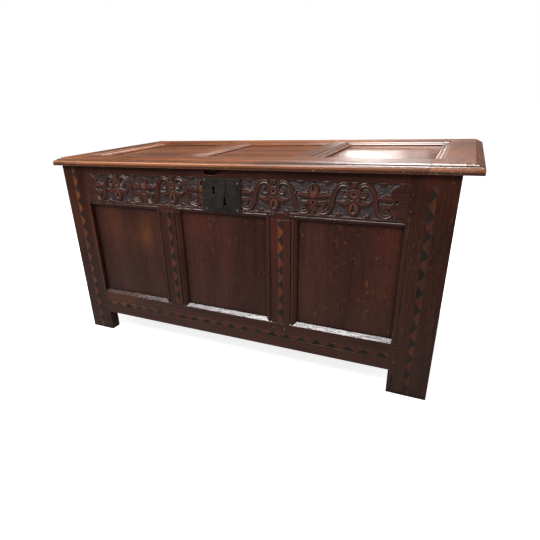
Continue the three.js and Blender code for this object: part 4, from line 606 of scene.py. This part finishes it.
def moulded_edge(tree, wood, bands, up_face):
    rim = along_rim(tree)
    height = node(tree, "SeparateXYZ", {"Vector": place(tree)}).outputs["Z"]
    # The groove darkened: dirt and painted shade.
    groove_shade_and_dirt_mask = band(tree, height, GROOVE_RISE, GROOVE_FALL)
    wood = blended(tree, times(tree, rim, groove_shade_and_dirt_mask, 0.9), wood, GROOVE_SHADE_AND_DIRT)
    # The upright lower face darkened: painted shade under the roll.
    painted_lower_shade = times(tree, spread(tree, height, *LOWER_FACE), spread(tree, up_face, -0.5, -0.2, 0.0, 0.6))
    wood = blended(tree, painted_lower_shade, wood, LOWER_FACE_SHADE)
    # The roll lightened: rubbed wear and a painted highlight.
    roll_wear_and_highlight_mask = times(tree, band(tree, height, ROLL_RISE, ROLL_FALL), spread(tree, bands, 0.38, 0.62, 0.25, 0.8), rim)
    wood = blended(tree, roll_wear_and_highlight_mask, wood, ROLL_WEAR_AND_HIGHLIGHT)
    chips = spread(tree, noise(tree, place(tree), 240.0, 2.0), 0.68, 0.73, 0.0, 0.55)
    return blended(tree, times(tree, rim, spread(tree, height, *CHIPS_BELOW), chips), wood, CHIP_PALE)


def knocked_edge(tree, warm, wood, relief, rough, waxed):
    dents = noise(tree, place(tree), 110.0, 3.0)
    relief = plus(tree, relief, times(tree, dents, along_rim(tree), 4.0))
    where = node(tree, "SeparateXYZ", {"Vector": place(tree)}).outputs
    dull = times(tree, spread(tree, where["Z"], *FLAT_TOP), spread(tree, where["Y"], *AT_BACK, 0.0, 0.85))
    return wood, relief, plus(tree, rough, times(tree, dull, 0.35)), sums(tree, "SUBTRACT", waxed, dull)


# The lid's wood is lighter than the front's, partly bleaching and partly painted light from above; its upright faces
# are darkened as painted shade.
LID_BLEACHED_AND_LIT = dict(dark=(0.115, 0.036, 0.0130, 1), light=(0.295, 0.090, 0.030, 1), warm=(0.42, 0.138, 0.040, 1),
           rubbed=0.7, sheen=0.3, pores=0.5, side_shade=0.35, quirk_dirt_and_shade=0.8)
LID_FRAME = dict(LID_BLEACHED_AND_LIT, gloss=0.34, wavy=0.25, colouring=moulded_edge, working=knocked_edge)
LID_PANEL = dict(LID_BLEACHED_AND_LIT, gloss=0.25, wavy=0.2, dust=0.0)
PALE_PANEL = dict(LID_PANEL, dark=(0.15, 0.047, 0.0175, 1), light=(0.33, 0.102, 0.036, 1))
finish_nodes(oak("lid_rail_oak", "X", **LID_FRAME, seed=40), "lid_front_rail", "lid_back_rail")
finish_nodes(oak("lid_end_oak", "Y", **LID_FRAME, seed=41), "lid_left_rail", "lid_right_rail")
finish_nodes(oak("lid_muntin_oak", "Y", **LID_FRAME, seed=42), "lid_left_muntin", "lid_right_muntin")
finish_nodes(oak("lid_left_panel_oak", "X", **LID_PANEL, seed=43), "lid_left_panel")
finish_nodes(oak("lid_middle_panel_oak", "X", **PALE_PANEL, seed=44), "lid_middle_panel")
finish_nodes(oak("lid_right_panel_oak", "X", **PALE_PANEL, seed=45), "lid_right_panel")

# Ironwork: the lock with its plate and cover, and the strap hinges, forged from wrought bar and
# nailed on. It is dark with a brownish patina, and brighter where hands and keys have rubbed it.
def iron(name, dark, light, rust, gloss, seed):
    material, tree = bare_material(name)
    moved = {"Vector": place(tree), "Location": (seed, seed * 2, seed * 3)}
    where = node(tree, "Mapping", moved).outputs["Vector"]
    cloud = noise(tree, where, 38.0, 6.0, Roughness=0.65)
    grain = noise(tree, where, 420.0, 3.0)
    dent = noise(tree, where, 85.0, 2.0)
    metal = blended(tree, spread(tree, cloud, 0.35, 0.65), dark, light)
    metal = blended(tree, spread(tree, dent, 0.58, 0.7, 0.0, 0.45), metal, rust)
    soft, turn = soft_edge(tree, 0.0014)
    metal = blended(tree, spread(tree, turn, 0.995, 0.86, 0.0, 0.7), metal, tinted(light, 2.8, 2.8, 2.8))
    # Darker in crevices within 4 mm: painted shade.
    metal = shaded(tree, metal, spread(tree, openness(tree, 0.004), 0.45, 0.9, 0.25, 1.0))
    rough = spread(tree, grain, 0.3, 0.7, gloss - 0.1, gloss + 0.15)
    surface(tree, metal, rough, plus(tree, times(tree, grain, 0.4), dent), 0.0006, 0.7, soft, Metallic=0.55)
    return material


PLATE_IRON = iron("patinated_iron", (0.0115, 0.0088, 0.0076, 1), (0.037, 0.029, 0.0245, 1),
                  (0.046, 0.029, 0.0195, 1), 0.42, 1.0)
COVER_IRON = iron("cover_iron", (0.0155, 0.0118, 0.0103, 1), (0.046, 0.0365, 0.031, 1),
                  (0.046, 0.032, 0.022, 1), 0.38, 2.5)
HANDLED_IRON = iron("handled_iron", (0.03, 0.027, 0.024, 1), (0.09, 0.082, 0.072, 1),
                    (0.06, 0.048, 0.035, 1), 0.34, 2.0)
finish_nodes(PLATE_IRON, "lock_plate", "lock_case", "left_hinge_leaf", "right_hinge_leaf",
             "left_hinge_strap", "right_hinge_strap", "lid_staple")
finish_nodes(COVER_IRON, "keyhole_cover")
finish_nodes(HANDLED_IRON, "cover_rivet", "lock_bolt", "left_hinge_pin", "right_hinge_pin")

# Nails of the lock plate and hinges: small forged heads, bright where they are rubbed. Those of the
# plate are hammered down flush, so that the cover swings over them. Sizes in mm.
PLATE_FACE, LEAF_FACE, STRAP_FACE = -2.3, 598.3, 623.3
PLATE_NAILS = ((567, 591), (674, 584), (671, 507), (568, 508))
LEAF_NAILS, STRAP_NAILS = ((-9, 536), (9, 552), (-9, 570), (9, 590)), ((-9, 521), (9, 536), (-9, 552))
HINGE_PLACES = (240, 1000)
NAIL_IRON = iron("nail_iron", (0.05, 0.048, 0.045, 1), (0.16, 0.15, 0.14, 1), (0.06, 0.04, 0.03, 1), 0.3, 3.0)


def nail_head(mesh, centre, radius, out, height):
    made = bmesh.ops.create_uvsphere(mesh, u_segments=10, v_segments=6, radius=1.0)["verts"]
    size = (radius / 1000, out / 1000, height / 1000)
    bmesh.ops.transform(mesh, verts=made, matrix=Matrix.LocRotScale(centre, None, size))


plate_nails, leaf_nails, strap_nails = bmesh.new(), bmesh.new(), bmesh.new()
for x, z in PLATE_NAILS:
    nail_head(plate_nails, at(x, PLATE_FACE, z), 2.8, 0.25, 2.8)
for middle in HINGE_PLACES:
    for aside, z in LEAF_NAILS:
        nail_head(leaf_nails, at(middle + aside, LEAF_FACE, z), 3.6, 1.4, 3.6)
    for aside, y in STRAP_NAILS:
        nail_head(strap_nails, at(middle + aside, y, STRAP_FACE), 3.6, 3.6, 1.44)
smooth_piece("lock_nails", plate_nails, NAIL_IRON, "carcass")
smooth_piece("leaf_nails", leaf_nails, NAIL_IRON, "carcass")
smooth_piece("strap_nails", strap_nails, NAIL_IRON, "lid")

# Studio: a pale paper floor that the camera sees as nearly white, and that keeps the chest's shadow.
# The wood and iron see floor and room darker, as the waxed oak in the photograph mirrors a dim room.
# Soft lamps stand before and over the chest, and far ones put the glare on the lid and sills.
FLOOR_PALE, FLOOR_LESS_IN_GLOSS, FLOOR_GLOW = 0.9, 0.55, 0.83
ROOM_SEEN_MORE, ROOM_LIGHT, ROOM_LESS_IN_GLOSS = 0.78, 0.22, 0.12
floor_mesh = bmesh.new()
bmesh.ops.create_grid(floor_mesh, x_segments=1, y_segments=1, size=30)
floor_data = bpy.data.meshes.new("floor")
floor_mesh.to_mesh(floor_data)
floor_mesh.free()
floor = bpy.data.objects.new("floor", floor_data)
bpy.context.scene.collection.objects.link(floor)
paper, tree = bare_material("floor_paper")
seen = node(tree, "LightPath")
pale = sums(tree, "SUBTRACT", FLOOR_PALE, times(tree, seen.outputs["Is Glossy Ray"], FLOOR_LESS_IN_GLOSS))
glow = {"Color": (1, 1, 1, 1), "Strength": times(tree, seen.outputs["Is Camera Ray"], FLOOR_GLOW)}
both = node(tree, "AddShader", {0: node(tree, "BsdfDiffuse", {"Color": grey(tree, pale)}).outputs[0],
                                1: node(tree, "Emission", glow).outputs[0]})
tree.links.new(both.outputs[0], node(tree, "OutputMaterial").inputs["Surface"])
floor_data.materials.append(paper)

world = bpy.data.worlds.new("studio")
bpy.context.scene.world = world
world.use_nodes = True
tree = world.node_tree
tree.nodes.clear()
path = node(tree, "LightPath")
level = plus(tree, times(tree, path.outputs["Is Camera Ray"], ROOM_SEEN_MORE), ROOM_LIGHT)
level = sums(tree, "SUBTRACT", level, times(tree, path.outputs["Is Glossy Ray"], ROOM_LESS_IN_GLOSS))
sky = node(tree, "Background", {"Color": (1, 1, 1, 1), "Strength": level})
tree.links.new(sky.outputs[0], node(tree, "OutputWorld").inputs["Surface"])


def lamp(name, place, target, size, power):
    data = bpy.data.lights.new(name, "AREA")
    data.shape = "RECTANGLE"
    data.size, data.size_y = size
    data.energy = power
    made = bpy.data.objects.new(name, data)
    made.location = place
    made.visible_camera = False
    made.rotation_euler = (Vector(target) - Vector(place)).to_track_quat("-Z", "Y").to_euler()
    bpy.context.scene.collection.objects.link(made)


lamp("front_left", (-0.85, -1.62, 2.05), (0.0, -0.3, 0.25), (2.2, 0.35), 38)
lamp("front_right", (0.1, -1.69, 2.05), (0.1, -0.3, 0.25), (0.8, 0.3), 10)
lamp("overhead", (-0.15, -0.25, 2.3), (0.1, -0.3, 0.5), (2.6, 0.4), 22)
lamp("behind", (0.25, 1.5, 2.3), (0.2, 0.0, 0.6), (0.8, 1.1), 42)
lamp("right_end", (2.4, 0.35, 1.1), (0.65, 0.0, 0.3), (1.0, 0.8), 12)
lamp("left_end", (-2.4, 0.35, 1.1), (-0.65, 0.0, 0.3), (1.0, 0.8), 8)
lamp("sill_light", (0.2, 0.9, 0.69), (0.3, 0.0, 0.63), (0.25, 0.03), 0.08)
for width, power in ((0.35, 1.2), (0.65, 2.0), (1.0, 2.0)):
    lamp("window", (-0.37 + 0.15 * width, 3.6, 0.86), (0.3, 0.0, 0.63), (width, 0.3 * width), power)

# Camera: at the photograph's place, fitted to about sixty points on the chest's joints and edges.
# The lens is that of the photograph, and the shift is what its framing needs.
YAW, PITCH, ROLL = 0.4839, -0.4304, 0.0501
CAMERA_PLACE = (0.6061, -1.4069, 0.7956)
camera_data = bpy.data.cameras.new("camera")
camera = bpy.data.objects.new("camera", camera_data)
bpy.context.scene.collection.objects.link(camera)
bpy.context.scene.camera = camera
camera_data.sensor_width = 36.0
camera_data.lens = 28.70
camera_data.shift_x = 0.0631
camera_data.shift_y = 0.0539
camera_data.clip_start, camera_data.clip_end = 0.05, 100
turned = Matrix.Rotation(YAW, 4, "Z") @ Matrix.Rotation(PITCH, 4, "X") @ Matrix.Rotation(ROLL, 4, "Y")
level_view = Matrix.Rotation(math.pi / 2, 4, "X")
camera.matrix_world = Matrix.Translation(CAMERA_PLACE) @ turned @ level_view

bpy.context.scene.view_settings.view_transform = "Standard"
